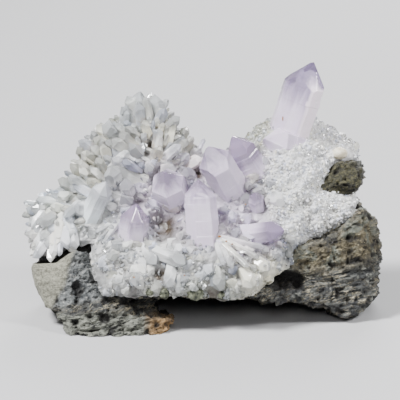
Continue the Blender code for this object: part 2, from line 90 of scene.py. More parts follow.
# %% Floor
FLOOR_SIDE = 8.0
floor_bm = bmesh.new()
bmesh.ops.create_grid(floor_bm, x_segments=1, y_segments=1, size=FLOOR_SIDE / 2)
floor_mesh = bpy.data.meshes.new("floor")
floor_bm.to_mesh(floor_mesh)
floor_bm.free()
floor = bpy.data.objects.new("floor", floor_mesh)
bpy.context.scene.collection.objects.link(floor)
floor_paint = bpy.data.materials.new("floor_paper")
floor_paint.use_nodes = True
floor_shader = floor_paint.node_tree.nodes["Principled BSDF"]
floor_shader.inputs["Base Color"].default_value = (0.46, 0.46, 0.47, 1.0)
floor_shader.inputs["Roughness"].default_value = 0.8
floor_mesh.materials.append(floor_paint)

# %% Lamps
# Each is (name, place on the face's axes in mm, side in m, watts).
LAMPS = [
    ("key", (-360.0, 560.0, 360.0), 0.20, 15.5),
    ("right", (480.0, 420.0, 260.0), 0.16, 4.5),
    ("behind", (120.0, 460.0, -460.0), 0.30, 4.0),
    ("front", (60.0, 160.0, 700.0), 0.20, 1.6),
]
for name, place, side, watts in LAMPS:
    lamp_data = bpy.data.lights.new(name, "AREA")
    lamp_data.shape = "SQUARE"
    lamp_data.size = side
    lamp_data.energy = watts
    lamp = bpy.data.objects.new(name, lamp_data)
    bpy.context.scene.collection.objects.link(lamp)
    lamp.location = STAND @ Vector(place)
    aim = STAND @ Vector((0.0, 36.0, -15.0)) - lamp.location
    lamp.rotation_euler = aim.to_track_quat("-Z", "Y").to_euler()
world = bpy.data.worlds.new("studio")
world.use_nodes = True
world.node_tree.nodes["Background"].inputs["Color"].default_value = (0.92, 0.94, 1.0, 1.0)
world.node_tree.nodes["Background"].inputs["Strength"].default_value = 0.075
bpy.context.scene.world = world
print("lamps:", len(LAMPS))

# %% [markdown]
# ## Finishes
# Every finish is one Principled shader fed by noise. The patterns read Object coordinates, which are metres, so
# a helper turns "how many millimetres wide is the pattern" into a scale. What differs from one crystal to the
# next, such as how milky it is, comes from attributes that are written on the mesh when the crystal is made.

# %% Node helpers
def new_finish(name):
    made = bpy.data.materials.new(name)
    made.use_nodes = True
    return made, made.node_tree.nodes["Principled BSDF"]


def add_node(finish, kind, settings=None, **inputs):
    """A node with its settings, and its inputs by name: a number or colour is set, and a socket is linked."""
    made = finish.node_tree.nodes.new("ShaderNode" + kind)
    for name, value in (settings or {}).items():
        setattr(made, name, value)
    for name, value in inputs.items():
        plug_in(finish, made.inputs[int(name[1:])] if name[1:].isdigit() else made.inputs[name.replace("_", " ")], value)
    return made


def plug_in(finish, socket, value):
    if isinstance(value, bpy.types.NodeSocket):
        finish.node_tree.links.new(value, socket)
    else:
        socket.default_value = value


def attribute(finish, name):
    return add_node(finish, "Attribute", {"attribute_name": name}).outputs["Fac"]


def grain(finish, wide_mm, detail=4.0, rough=0.55, warp=0.0, vector=None):
    """Noise whose lumps are about wide_mm across, from 0 to 1."""
    place = vector or add_node(finish, "TexCoord").outputs["Object"]
    return add_node(
        finish, "TexNoise", Vector=place, Scale=1000.0 / wide_mm, Detail=detail, Roughness=rough, Distortion=warp
    ).outputs["Fac"]


def spread(finish, value, low, high, to_low=0.0, to_high=1.0):
    """Stretches low to high over to_low to to_high, and stops there."""
    return add_node(
        finish, "MapRange", {"clamp": True}, Value=value, From_Min=low, From_Max=high, To_Min=to_low, To_Max=to_high
    ).outputs["Result"]


def mix(finish, share, first, second):
    """Colour that runs from the first to the second."""
    return add_node(finish, "Mix", {"data_type": "RGBA"}, _0=share, _6=first, _7=second).outputs[2]


def sum_of(finish, first, second, operation="ADD"):
    return add_node(finish, "Math", {"operation": operation}, _0=first, _1=second).outputs[0]


def rgb(red, green, blue):
    return (red, green, blue, 1.0)


# %% [markdown]
# ### Quartz
# Every crystal is milky from its root up to some height and clear above it, and iron has stained the gaps. The
# milkiness could be a volume full of scattering, but that is slow and noisy over thousands of crystals. Mixing a
# white surface, through which light spreads a little, with a clear one gives the same look. The large crystals'
# violet sits in their clear heads, so the colour deepens where the milk ends.

# %% Quartz finishes
QUARTZ_IOR = 1.544
IRON = (0.30, 0.19, 0.075)
CLOUD = (0.84, 0.84, 0.86)


def quartz_finish(name, clear_below, clear_above, gloss, cloud, deep, depth=1.0, ragged=0.14, stretch=0.3, glow=0.15):
    """Quartz that is milky up to the height in milk. The mesh also gives along, grown, tone and stain."""
    made, shader = new_finish(name)
    along, milk, stain = attribute(made, "along"), attribute(made, "milk"), attribute(made, "stain")
    grown = add_node(made, "Attribute", {"attribute_name": "grown"}).outputs["Vector"]
    drawn_out = add_node(made, "Mapping", Vector=grown, Scale=(1.0, 1.0, stretch)).outputs["Vector"]
    veil = grain(made, 1.9, detail=6.0, rough=0.6, warp=0.5, vector=drawn_out)
    tone = add_node(made, "Attribute", {"attribute_name": "tone"}).outputs["Color"]
    tone = mix(made, spread(made, veil, 0.42, 0.66, 0.0, cloud), tone, rgb(*CLOUD))
    height = sum_of(made, sum_of(made, along, milk, "SUBTRACT"), spread(made, veil, 0.3, 0.7, ragged, -ragged))
    tone = mix(made, spread(made, height, -0.16, 0.30, 0.0, depth), tone, rgb(*deep))
    speck = spread(made, grain(made, 1.5, detail=6.0), 0.44, 0.64)
    rust = sum_of(made, sum_of(made, stain, speck, "MULTIPLY"), spread(made, along, 0.3, 0.9, 1.0, 0.0), "MULTIPLY")
    plug_in(made, shader.inputs["Base Color"], mix(made, rust, tone, rgb(*IRON)))
    clear = spread(made, height, -0.10, 0.14, clear_below, clear_above)
    clear = sum_of(made, clear, spread(made, rust, 0.0, 1.0, 1.0, 0.15), "MULTIPLY")
    plug_in(made, shader.inputs["Transmission Weight"], clear)
    plug_in(made, shader.inputs["Roughness"], spread(made, veil, 0.35, 0.8, gloss, gloss + 0.14))
    shader.inputs["IOR"].default_value = QUARTZ_IOR
    shader.inputs["Subsurface Weight"].default_value = glow
    shader.inputs["Subsurface Radius"].default_value = (1.0, 0.95, 1.0)
    shader.inputs["Subsurface Scale"].default_value = 1.2 * MM
    bump = add_node(made, "Bump", Strength=0.25, Distance=0.00012, Height=veil)
    plug_in(made, shader.inputs["Normal"], bump.outputs["Normal"])
    return made


druse_quartz = quartz_finish("druse_quartz", 0.18, 0.62, 0.05, cloud=0.4, deep=(0.66, 0.70, 0.74), depth=0.4)
violet_quartz = quartz_finish(
    "violet_quartz", 0.12, 0.72, 0.04, cloud=0.3, deep=(0.60, 0.49, 0.72), ragged=0.06, stretch=0.12
)
main_quartz = quartz_finish(
    "deep_violet_quartz", 0.10, 0.8, 0.03, cloud=0.3, deep=(0.44, 0.37, 0.58), ragged=0.06, stretch=0.12
)
glassy_quartz = quartz_finish("glassy_quartz", 0.12, 0.6, 0.04, cloud=0.5, deep=(0.80, 0.82, 0.87), stretch=0.12)
print("quartz finishes: 4")

# %% [markdown]
# ## Cutting a crystal
# Quartz is a six-sided column that ends in six sloping faces, all at the same 38 degrees to the column. Its
# faces are seldom equal, because each one grew at its own speed. So each crystal is a block from which planes cut
# six sides and six point faces, every plane with its own distance: the tool that cuts also makes the uneven
# faces that a real crystal has.

# %% Crystal maker
POINT_ANGLE = math.radians(38.2)


def cut_away(bm, point, normal):
    """Cuts off what lies past a plane and closes the cut."""
    cut = bmesh.ops.bisect_plane(
        bm, geom=bm.verts[:] + bm.edges[:] + bm.faces[:], plane_co=point, plane_no=normal, clear_outer=True
    )
    rim = [e for e in cut["geom_cut"] if isinstance(e, bmesh.types.BMEdge)]
    if rim:
        bmesh.ops.edgenet_fill(bm, edges=rim)


def quartz_block(length, sides, drops, angle=POINT_ANGLE, taper=0.02, two_ended=False):
    """A crystal along +Z with its point at the origin. A side is (turn in degrees, distance), a drop lowers a face."""
    bm = bmesh.new()
    wide = 3.0 * max(distance for _, distance in sides)
    block = Matrix.Translation((0.0, 0.0, -length / 2)) @ Matrix.Diagonal((wide, wide, length, 1.0))
    bmesh.ops.create_cube(bm, size=1.0, matrix=block)
    for turn, distance in sides:
        way = Vector((math.cos(math.radians(turn)), math.sin(math.radians(turn)), 0.0))
        cut_away(bm, way * distance, (way + Vector((0.0, 0.0, taper))).normalized())
    for (turn, distance), drop in zip(sides, drops):
        way = Vector((math.cos(math.radians(turn)), math.sin(math.radians(turn)), 0.0))
        cut_away(bm, Vector((0.0, 0.0, -drop)), way * math.cos(angle) + VIEWER * math.sin(angle))
        if two_ended:
            cut_away(bm, Vector((0.0, 0.0, drop - length)), way * math.cos(angle) - VIEWER * math.sin(angle))
    top = max(v.co.z for v in bm.verts)
    bmesh.ops.translate(bm, vec=(0.0, 0.0, -top), verts=bm.verts)
    bmesh.ops.recalc_face_normals(bm, faces=bm.faces)
    return bm


def uneven_sides(dice, width, flatness, spare=0.10):
    """Six sides of a column, width across, pressed flatter along one way."""
    made = []
    for step in range(6):
        turn = 60.0 * step
        half = 0.47 * width * (1.0 - (1.0 - flatness) * math.sin(math.radians(turn)) ** 2)
        made.append((turn, half * dice.uniform(1.0 - spare, 1.0 + spare)))
    return made


def stand_along(tip, root, turn=0.0):
    """Puts +Z along root to tip with the origin at the tip, and +X as nearly toward the viewer as it goes."""
    axis = (Vector(tip) - Vector(root)).normalized()
    side = axis.cross(VIEWER).normalized()
    turned = Matrix((side.cross(axis), side, axis)).transposed().to_4x4()
    return Matrix.Translation(Vector(tip)) @ turned @ Matrix.Rotation(math.radians(turn), 4, "Z")


KINDS = {"tone": ("FLOAT_COLOR", "color"), "grown": ("FLOAT_VECTOR", "vector")}


def write_attributes(mesh, **values):
    """Writes values on the mesh. A list holds numbers for all its vertices, and anything else goes to each one."""
    for name, value in values.items():
        kind, field = KINDS.get(name, ("FLOAT", "value"))
        if name not in mesh.attributes:
            mesh.attributes.new(name, kind, "POINT")
        if name == "tone" and not isinstance(value, list):
            value = [*value, 1.0] * len(mesh.vertices)
        elif not isinstance(value, list):
            value = [value] * len(mesh.vertices)
        mesh.attributes[name].data.foreach_set(field, value)


def crystal_mesh(bm, length, seed, size=1.0):
    """The crystal as a mesh. Along runs from 0 at its root to 1 at its point, grown is a place inside the crystal."""
    mesh = bpy.data.meshes.new("crystal")
    bm.to_mesh(mesh)
    bm.free()
    apart = Vector((17.0 * seed, 0.0, 0.0))
    write_attributes(
        mesh,
        along=[1.0 + v.co.z / length for v in mesh.vertices],
        grown=[number for v in mesh.vertices for number in (v.co * size + apart) * MM],
    )
    return mesh


def add_mesh(bm, mesh, matrix, **values):
    """Adds a placed copy of the mesh, with its attributes set."""
    copy = mesh.copy()
    copy.transform(matrix)
    write_attributes(copy, **values)
    bm.from_mesh(copy)
    bpy.data.meshes.remove(copy)


def finish_piece(bm, name, nodes, finishes, drawn_on_face=True):
    """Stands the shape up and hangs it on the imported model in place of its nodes."""
    if drawn_on_face:
        bmesh.ops.transform(bm, matrix=STAND, verts=bm.verts)
    mesh = bpy.data.meshes.new(name)
    bm.to_mesh(mesh)
    bm.free()
    made = bpy.data.objects.new(name, mesh)
    bpy.context.scene.collection.objects.link(made)
    for finish in finishes:
        mesh.materials.append(finish)
    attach(made, "root")
    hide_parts(*nodes)
    mesh.calc_loop_triangles()
    print(name, "triangles:", len(mesh.loop_triangles))
    return made


# %% [markdown]
# ## Broken and grown surfaces
# Both the bed of the crust and the rock are made of small flat faces, each tilted its own way. A Voronoi pattern
# gives that: every point belongs to the nearest seed, and each seed carries its own plane. One helper does it for
# both, with a different size.

# %% Flat chips
def chips(place, size, offset=0.0):
    """A surface of flat chips, about -0.5 to 0.5 high: each cell has its own tilt."""
    point = place / size + Vector((offset, 0.0, 0.0))
    _, centres = noise.voronoi(point)
    tilt = noise.noise_vector(centres[0] * 5.3)
    return tilt.dot(point - centres[0])


# %% [markdown]
# ## The crust's bed
# Under the crystals lies a sheet of massive quartz, 3 mm thick at its rim and 13 mm in the middle, which follows
# the rock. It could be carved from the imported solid, but a grid that is cut to the crust's outline and lifted to
# its surface has even faces, and a ray shot at it tells each small crystal where it stands and which way is out.

# %% Outline and surface of the crust
CRUST_OUTLINE = [
    (-47.6, 21.6), (-48.4, 27.0), (-48.6, 32.0), (-49.0, 36.0), (-46.5, 38.2), (-43.0, 40.2), (-39.0, 41.4),
    (-36.0, 46.0), (-34.0, 51.0), (-31.0, 55.0), (-27.5, 57.6), (-23.6, 59.6), (-21.0, 63.2), (-18.6, 65.8),
    (-15.6, 66.4), (-12.4, 65.8), (-10.0, 62.6), (-7.4, 58.6), (-5.0, 55.6), (-2.0, 53.2), (1.0, 51.0),
    (6.0, 51.4), (10.4, 54.2), (14.6, 58.0), (18.0, 60.6), (22.0, 60.8), (28.0, 61.6), (31.8, 62.0),
    (35.2, 59.4), (39.8, 56.8), (44.8, 53.8), (44.4, 48.8), (41.0, 47.4), (38.2, 47.4), (36.0, 46.0), (34.4, 43.6),
    (34.6, 41.0), (39.0, 40.4), (43.4, 40.0), (43.8, 36.4), (40.8, 31.0),
    (36.6, 29.2), (30.6, 26.6), (26.8, 24.6), (25.6, 19.6), (20.6, 16.8), (17.0, 13.6), (14.0, 11.2),
    (8.2, 10.0), (1.2, 10.6), (-4.2, 11.2), (-11.8, 11.0), (-21.6, 11.0), (-27.6, 11.4), (-29.2, 14.2),
    (-31.2, 20.0), (-31.0, 25.0), (-36.2, 25.4), (-40.0, 22.4),
]
# (across, up, reach, height toward the viewer)
CRUST_MOUNDS = [
    (-16.5, 56.0, 9.0, 3.5), (-30.0, 46.0, 8.0, 2.0), (-42.0, 32.0, 7.0, 2.5), (-23.0, 19.0, 8.0, 3.5),
    (-1.0, 27.0, 9.0, 4.5), (13.0, 22.0, 9.0, 3.0), (28.0, 42.0, 10.0, 4.0), (24.0, 53.0, 7.0, 2.5),
    (-12.0, 31.0, 4.5, -3.5), (-5.0, 51.0, 5.0, -4.0), (8.0, 37.0, 5.0, -1.5), (31.0, 33.0, 5.0, -1.5),
]
EDGE_ROLL = 6.0
CRUST_THICKNESS = 13.0
CRUST_EDGE_THICKNESS = 3.0


def inside(point, outline):
    """True if the point is inside the closed outline."""
    x, y = point
    found = False
    for (ax, ay), (bx, by) in zip(outline, outline[1:] + outline[:1]):
        if (ay > y) != (by > y) and x < ax + (y - ay) * (bx - ax) / (by - ay):
            found = not found
    return found


def nearest_on(point, outline):
    """The nearest point on the outline, and how far it is."""
    here = Vector(point)
    best, gap = None, math.inf
    for a, b in zip(outline, outline[1:] + outline[:1]):
        start, run = Vector(a), Vector(b) - Vector(a)
        share = max(0.0, min(1.0, (here - start).dot(run) / run.length_squared))
        there = start + run * share
        if (there - here).length < gap:
            best, gap = there, (there - here).length
    return best, gap


def crust_depth(across, up, gap):
    """The crust's surface, as an amount toward the viewer, gap from its outline."""
    turned_back = 8.0 if across < 0 else 14.0
    toward = 8.8 - 0.56 * up - turned_back * (across / 48.0) ** 2
    for x, y, reach, height in CRUST_MOUNDS:
        toward += height * math.exp(-((across - x) ** 2 + (up - y) ** 2) / reach**2)
    if gap < EDGE_ROLL:
        toward -= EDGE_ROLL - math.sqrt(EDGE_ROLL**2 - (EDGE_ROLL - gap) ** 2)
    return toward


# %% [markdown]
# The bed is broken by pits: dark hollows between the crystals, brown partly from iron stain and partly as painted
# shade.

# %% Pits in the crust
# (across, up, reach, how strong)
HOLLOWS = [
    (-14.7, 52.6, 2.8, 1.0), (-10.0, 31.6, 3.6, 0.8), (-11.0, 28.4, 2.4, 0.8), (-1.2, 44.6, 2.0, 0.9),
    (-11.6, 17.0, 2.6, 1.0), (-22.2, 18.6, 2.0, 0.8), (3.0, 12.6, 2.8, 1.0), (-17.2, 59.5, 1.6, 0.8),
    (-12.0, 62.4, 1.6, 0.5), (-36.0, 38.0, 2.0, 0.4), (29.4, 36.8, 1.6, 0.6), (29.6, 32.4, 1.4, 0.6),
    (8.0, 28.6, 1.8, 0.4), (-28.6, 52.0, 1.8, 0.6), (-22.6, 54.6, 2.2, 0.8), (-17.6, 38.0, 2.0, 0.5),
    (12.6, 46.0, 2.0, 0.4), (26.0, 22.6, 2.2, 0.6), (18.4, 60.0, 2.0, 0.4), (-38.0, 27.0, 1.8, 0.4),
    (-19.0, 13.0, 2.0, 0.7), (9.0, 16.6, 1.6, 0.5), (-4.4, 27.0, 1.4, 0.4), (-14.0, 44.6, 1.8, 0.5),
]
# (across, up, reach, depth): room for the large crystals, so that they stand out.
DIPS = [
    (-0.4, 31.0, 5.6, 3.6), (16.0, 28.6, 5.4, 2.6), (15.0, 36.6, 3.6, 1.8), (-19.6, 30.0, 5.0, 1.2),
    (-9.0, 40.0, 5.4, 1.4), (-30.0, 35.0, 4.6, 1.0),
]


def hollow_at(across, up):
    return min(1.0, sum(s * math.exp(-((across - x) ** 2 + (up - y) ** 2) / r**2) for x, y, r, s in HOLLOWS))


# %% Bed of the crust
BED_CELL = 0.8
HOLLOW_DEPTH = 2.3
DEEPEST = 4.4
bed_bm = bmesh.new()
bed_low = Vector((min(p[0] for p in CRUST_OUTLINE), min(p[1] for p in CRUST_OUTLINE)))
bed_high = Vector((max(p[0] for p in CRUST_OUTLINE), max(p[1] for p in CRUST_OUTLINE)))
bed_size = bed_high - bed_low
bmesh.ops.create_grid(
    bed_bm,
    x_segments=round(bed_size.x / BED_CELL),
    y_segments=round(bed_size.y / BED_CELL),
    size=0.5,
    matrix=Matrix.Translation(((bed_low + bed_high) / 2).to_3d())
    @ Matrix.Diagonal((bed_size.x + BED_CELL, bed_size.y + BED_CELL, 1.0, 1.0)),
)
outer = {v for v in bed_bm.verts if not inside(v.co.xy, CRUST_OUTLINE)}
bmesh.ops.delete(bed_bm, geom=[f for f in bed_bm.faces if all(v in outer for v in f.verts)], context="FACES")
for v in bed_bm.verts:
    if v in outer:
        rim = nearest_on(v.co.xy, CRUST_OUTLINE)[0]
        v.co.xy = rim + noise.noise_vector((rim * 0.55).to_3d()).xy
bmesh.ops.remove_doubles(bed_bm, verts=bed_bm.verts, dist=0.2)
turned = bmesh.ops.extrude_face_region(bed_bm, geom=bed_bm.faces[:])
behind = {v for v in turned["geom"] if isinstance(v, bmesh.types.BMVert)}
for v in bed_bm.verts:
    across, up = v.co.xy
    gap = nearest_on(v.co.xy, CRUST_OUTLINE)[1]
    toward = crust_depth(across, up, gap)
    if v in behind:
        thick = CRUST_EDGE_THICKNESS + (CRUST_THICKNESS - CRUST_EDGE_THICKNESS) * min(1.0, gap / EDGE_ROLL)
        v.co.z = toward - thick + 1.6 * chips(Vector((across, up, 0.0)), 2.6, 4.0)
    else:
        flat = Vector((across, up, 0.0))
        grown = 1.8 * chips(flat, 4.6) + 0.8 * chips(flat, 1.9, 9.0) + 1.6 * noise.noise(flat * 0.26)
        room = sum(d * math.exp(-((across - x) ** 2 + (up - y) ** 2) / r**2) for x, y, r, d in DIPS)
        v.co.z = toward + grown - min(DEEPEST, room + HOLLOW_DEPTH * hollow_at(across, up)) - 0.4
bmesh.ops.recalc_face_normals(bed_bm, faces=bed_bm.faces)
if bed_bm.calc_volume(signed=True) < 0.0:
    bmesh.ops.reverse_faces(bed_bm, faces=bed_bm.faces[:])
bed_tree = BVHTree.FromBMesh(bed_bm)
print("bed faces:", len(bed_bm.faces))

# %% [markdown]
# The bed itself shows only in gaps: cloudy grey quartz, painted darker than the crystals as painted shade between them,
# and brown in the hollows, partly iron stain and partly painted shade. Light spreads a little under its surface, which
# is what keeps its shadows soft.

# %% Finish of the bed
bed_quartz, bed_shader = new_finish("bed_quartz")
bed_speck = grain(bed_quartz, 1.2, detail=6.0, rough=0.65)
bed_tone = add_node(bed_quartz, "Attribute", {"attribute_name": "tone"}).outputs["Color"]
bed_tone = mix(bed_quartz, spread(bed_quartz, bed_speck, 0.36, 0.60, 0.45, 0.0), bed_tone, rgb(0.16, 0.155, 0.15))
# Iron stain and painted shade: the bed turns dark brown where its stain is high, most of all in the hollows.
bed_stain_and_shade = spread(bed_quartz, grain(bed_quartz, 3.4, detail=5.0), 0.36, 0.58, 0.35, 1.0)
bed_stain_and_shade = sum_of(bed_quartz, attribute(bed_quartz, "stain"), bed_stain_and_shade, "MULTIPLY")
bed_tone = mix(bed_quartz, bed_stain_and_shade, bed_tone, rgb(0.055, 0.04, 0.026))
plug_in(bed_quartz, bed_shader.inputs["Base Color"], bed_tone)
bed_shader.inputs["Roughness"].default_value = 0.32
bed_shader.inputs["IOR"].default_value = QUARTZ_IOR
bed_shader.inputs["Subsurface Weight"].default_value = 0.4
bed_shader.inputs["Subsurface Radius"].default_value = (1.0, 0.9, 0.95)
bed_shader.inputs["Subsurface Scale"].default_value = 1.2 * MM
bed_relief = add_node(bed_quartz, "Bump", Strength=0.6, Distance=0.0004, Height=bed_speck)
plug_in(bed_quartz, bed_shader.inputs["Normal"], bed_relief.outputs["Normal"])

# %% [markdown]
# ### Where the crust has which colour
# Grey green with a breath of blue on the left, lilac in the middle, white on the right, cream along the bottom
# right. Each crystal takes the colour of its place, changed a little.

# %% Colours of the crust
ICE = Vector((0.62, 0.67, 0.70))
MOSS = Vector((0.52, 0.54, 0.46))
PALE = Vector((0.74, 0.75, 0.75))
LILAC = Vector((0.73, 0.65, 0.79))
SNOW = Vector((0.90, 0.90, 0.91))
CREAM = Vector((0.74, 0.72, 0.60))
SLATE = Vector((0.28, 0.31, 0.37))
# (across, up, reach, colour): the nearer, the more it counts.
CRUST_COLOURS = [
    (-18.0, 56.0, 9.0, PALE), (-21.0, 60.0, 5.0, ICE), (-8.0, 58.0, 5.0, CREAM), (-33.0, 50.0, 6.0, CREAM),
    (-26.0, 52.0, 5.0, PALE), (-40.0, 38.0, 7.0, ICE), (-42.0, 27.0, 6.0, SNOW), (-30.0, 36.0, 6.0, PALE),
    (-12.0, 38.0, 8.0, LILAC), (0.0, 34.0, 7.0, LILAC), (10.0, 44.0, 7.0, LILAC), (10.0, 30.0, 7.0, LILAC),
    (-10.0, 22.0, 7.0, PALE), (-20.0, 22.0, 6.0, PALE * 1.04), (4.0, 20.0, 6.0, PALE * 0.95),
    (12.0, 56.0, 4.5, MOSS), (20.0, 40.0, 6.0, PALE * 1.1), (30.0, 46.0, 8.0, SNOW), (39.0, 34.0, 7.0, SNOW * 1.08),
    (34.0, 54.0, 6.0, SNOW * 0.96), (28.0, 32.0, 6.0, SNOW), (25.0, 24.0, 3.0, SLATE), (17.0, 16.0, 5.0, CREAM * 1.1),
    (2.0, 13.0, 5.0, MOSS), (-20.0, 13.0, 6.0, PALE * 0.9),
]


def crust_colour(across, up):
    total, weights = Vector((0.0, 0.0, 0.0)), 0.0001
    for x, y, reach, colour in CRUST_COLOURS:
        weight = math.exp(-((across - x) ** 2 + (up - y) ** 2) / reach**2)
        total += colour * weight
        weights += weight
    return total / weights


tone_layer = bed_bm.verts.layers.float_color.new("tone")
stain_and_shade_layer = bed_bm.verts.layers.float.new("stain")
for v in bed_bm.verts:
    # Painted shade: the bed's tone is darkened below the crust's colour, less so under the sugar on the right.
    v[tone_layer] = (*(crust_colour(v.co.x, v.co.y) * (0.85 if v.co.x > 18.0 else 0.62)), 1.0)
    # The stain grows in the hollows, partly iron stain and partly painted shade.
    v[stain_and_shade_layer] = min(1.0, 0.1 + 1.1 * hollow_at(v.co.x, v.co.y))
finish_piece(bed_bm, "crust_bed", ["quartz_crust"], [bed_quartz])

# %% [markdown]
# ## Small crystals
# Thousands of them cover the bed. Cutting each one with planes would take minutes, so a few dozen are cut once,
# in several proportions, and copies of them are scattered. They have points at both ends, so one may also lie
# flat, and some 20 faces. The copies keep their distance, fan out from where the growth began, and lean the same
# way as their neighbours do.

# %% Patterns to copy
ASPECTS = (1.1, 1.7, 2.6, 3.8)
PATTERNS_EACH = 6


def pattern(aspect, seed):
    """One crystal of width 1, aspect times as long."""
    dice = random.Random(seed)
    sides = uneven_sides(dice, 1.0, dice.uniform(0.5, 1.0), 0.18)
    drops = [0.0 if step % 2 == 0 else dice.uniform(0.02, 0.2) for step in range(6)]
    block = quartz_block(aspect, sides, drops, taper=dice.uniform(0.0, 0.08), two_ended=True)
    return crystal_mesh(block, aspect, seed, 2.5)


patterns = {
    aspect: [pattern(aspect, 40 * number + copy) for copy in range(PATTERNS_EACH)]
    for number, aspect in enumerate(ASPECTS)
}
print("patterns:", len(ASPECTS) * PATTERNS_EACH)

# %% Scattering
GROVE = 6.0


def foot_on_bed(across, up):
    """Where a line of sight meets the bed, and which way is out there."""
    place, normal, _, _ = bed_tree.ray_cast(Vector((across, up, 60.0)), -VIEWER)
    return place, normal


def keep_apart(outline, count, spacing, dice):
    """Up to count places inside the outline, none nearer to another than the spacing."""
    xs, ys = [p[0] for p in outline], [p[1] for p in outline]
    cells, found = {}, []
    for _ in range(count * 14):
        spot = Vector((dice.uniform(min(xs), max(xs)), dice.uniform(min(ys), max(ys))))
        cell = (int(spot.x // spacing), int(spot.y // spacing))
        near = [other for i in (-1, 0, 1) for j in (-1, 0, 1) for other in cells.get((cell[0] + i, cell[1] + j), ())]
        if inside(spot, outline) and all((spot - other).length >= spacing for other in near):
            cells.setdefault(cell, []).append(spot)
            found.append(spot)
        if len(found) == count:
            break
    return found


def scatter(bm, outline, count, spacing, widths, lengths, seed, centre=(0.0, 30.0), fan=0.5, lean=0.6, sway=0.22,
            sunk=0.35, milk=0.45, stain=0.1, bare=0.0, tones=(0.64, 1.12), facing=1.0):
    """Copies of the patterns inside the outline. A share called bare of the ground stays free, in patches."""
    dice = random.Random(seed)
    made = 0
    for spot in keep_apart(outline, count, spacing, dice):
        foot, normal = foot_on_bed(*spot)
        if foot is None or 0.5 + noise.noise(Vector((*spot, seed)) * 0.16) < bare:
            continue
        if hollow_at(*spot) > dice.uniform(0.45, 1.1):
            continue
        made += 1
        outward = (spot - Vector(centre)).to_3d()
        outward = outward.normalized() * fan * min(1.0, outward.length / 6.0)
        together = noise.noise_vector(Vector((*spot, 3.0 * seed)) / GROVE) * lean
        shake = Vector([dice.gauss(0.0, sway) for _ in range(3)])
        way = (facing * (0.6 * normal + 0.4 * VIEWER) + outward + together + shake).normalized()
        if way.z < 0.08:
            way = Vector((way.x, way.y, 0.08)).normalized()
        edge = nearest_on(spot, CRUST_OUTLINE)[1]
        rim = min(1.0, 0.45 + edge / 5.0) if spot.y < 30.0 or facing < 1.0 else 1.0
        width = (widths[0] + (widths[1] - widths[0]) * dice.random() ** 1.6) * rim
        length = dice.uniform(*lengths) * rim
        aspect = min(ASPECTS, key=lambda value: abs(value - length / width))
        foot += normal * width * (0.35 - 0.55 * facing)
        warmth = dice.gauss(0.005, 0.04)
        tip = foot + way * length * (1.0 - sunk)
        matrix = stand_along(tip, foot, dice.uniform(0.0, 360.0)) @ Matrix.Diagonal((width, width, length / aspect, 1.0))
        add_mesh(
            bm,
            dice.choice(patterns[aspect]),
            matrix,
            tone=crust_colour(*spot) * dice.uniform(*tones) + Vector((warmth, 0.6 * warmth, -warmth)),
            milk=min(1.0, max(0.1, dice.gauss(milk, 0.2))),
            stain=min(1.0, max(0.0, dice.gauss(stain, 0.12)) + 0.8 * hollow_at(*spot)),
        )
    return made


# %% [markdown]
# ### The left peak and arm
# A bristling heap of flat blades, 2 to 3.5 mm wide, with slimmer ones between them. They point up at the peak and
# up and left on the arm. Their gaps are brown with iron.

# %% Left druse
PEAK = [
    (-30.0, 57.0), (-27.5, 58.2), (-23.6, 60.2), (-21.0, 63.6), (-18.6, 66.0), (-12.4, 66.0), (-9.8, 62.6),
    (-7.2, 58.8), (-5.0, 55.6), (-2.0, 53.2), (0.6, 50.0), (-2.0, 47.0), (-9.0, 46.4), (-16.0, 46.6), (-21.0, 42.0),
    (-27.0, 44.0), (-31.0, 50.0),
]
ARM = [
    (-48.2, 26.0), (-49.0, 36.2), (-43.0, 40.4), (-38.6, 42.2), (-36.4, 46.6), (-34.0, 51.6), (-30.4, 56.0),
    (-26.0, 56.0), (-22.0, 44.0), (-26.0, 38.0), (-33.0, 31.0), (-38.0, 31.0), (-42.0, 30.0),
]
WHITE_BLOCK = [
    (-46.8, 25.0), (-47.6, 28.0), (-47.8, 32.6), (-42.0, 35.0), (-36.6, 33.0), (-35.6, 28.4), (-38.0, 26.4), (-42.0, 24.6),
]
left_bm = bmesh.new()
peak_growth = dict(centre=(-14.7, 46.0), fan=0.8, stain=0.25, facing=0.55, lean=0.6, tones=(0.62, 1.22))
arm_growth = dict(centre=(-24.0, 38.0), fan=0.9, stain=0.2, facing=0.6, lean=0.6, tones=(0.62, 1.22))
left_count = scatter(left_bm, PEAK, 110, 2.4, (2.6, 4.4), (6.5, 10.0), 1, milk=0.65, **peak_growth)
left_count += scatter(left_bm, PEAK, 190, 1.5, (1.2, 2.4), (3.0, 5.6), 2, sway=0.4, **peak_growth)
left_count += scatter(left_bm, ARM, 110, 2.4, (2.6, 4.2), (6.5, 9.5), 3, milk=0.65, **arm_growth)
left_count += scatter(left_bm, ARM, 200, 1.5, (1.2, 2.4), (3.0, 5.4), 4, sway=0.4, **arm_growth)
left_count += scatter(
    left_bm, WHITE_BLOCK, 60, 1.7, (2.2, 4.0), (6.0, 9.5), 13, centre=(-40.0, 46.0), fan=1.4, lean=0.2, sway=0.12,
    milk=1.0, stain=0.0, tones=(0.98, 1.12), facing=0.6
)
print("left crystals:", left_count)
finish_piece(left_bm, "left_druse", ["quartz_crust"], [druse_quartz])

# %% [markdown]
# ### The middle and the lower front
# Between the large points the crust is lilac. Stout crystals 3 to 6 mm thick are grown together
# here and look straight out, with patches of small ones in the gaps.

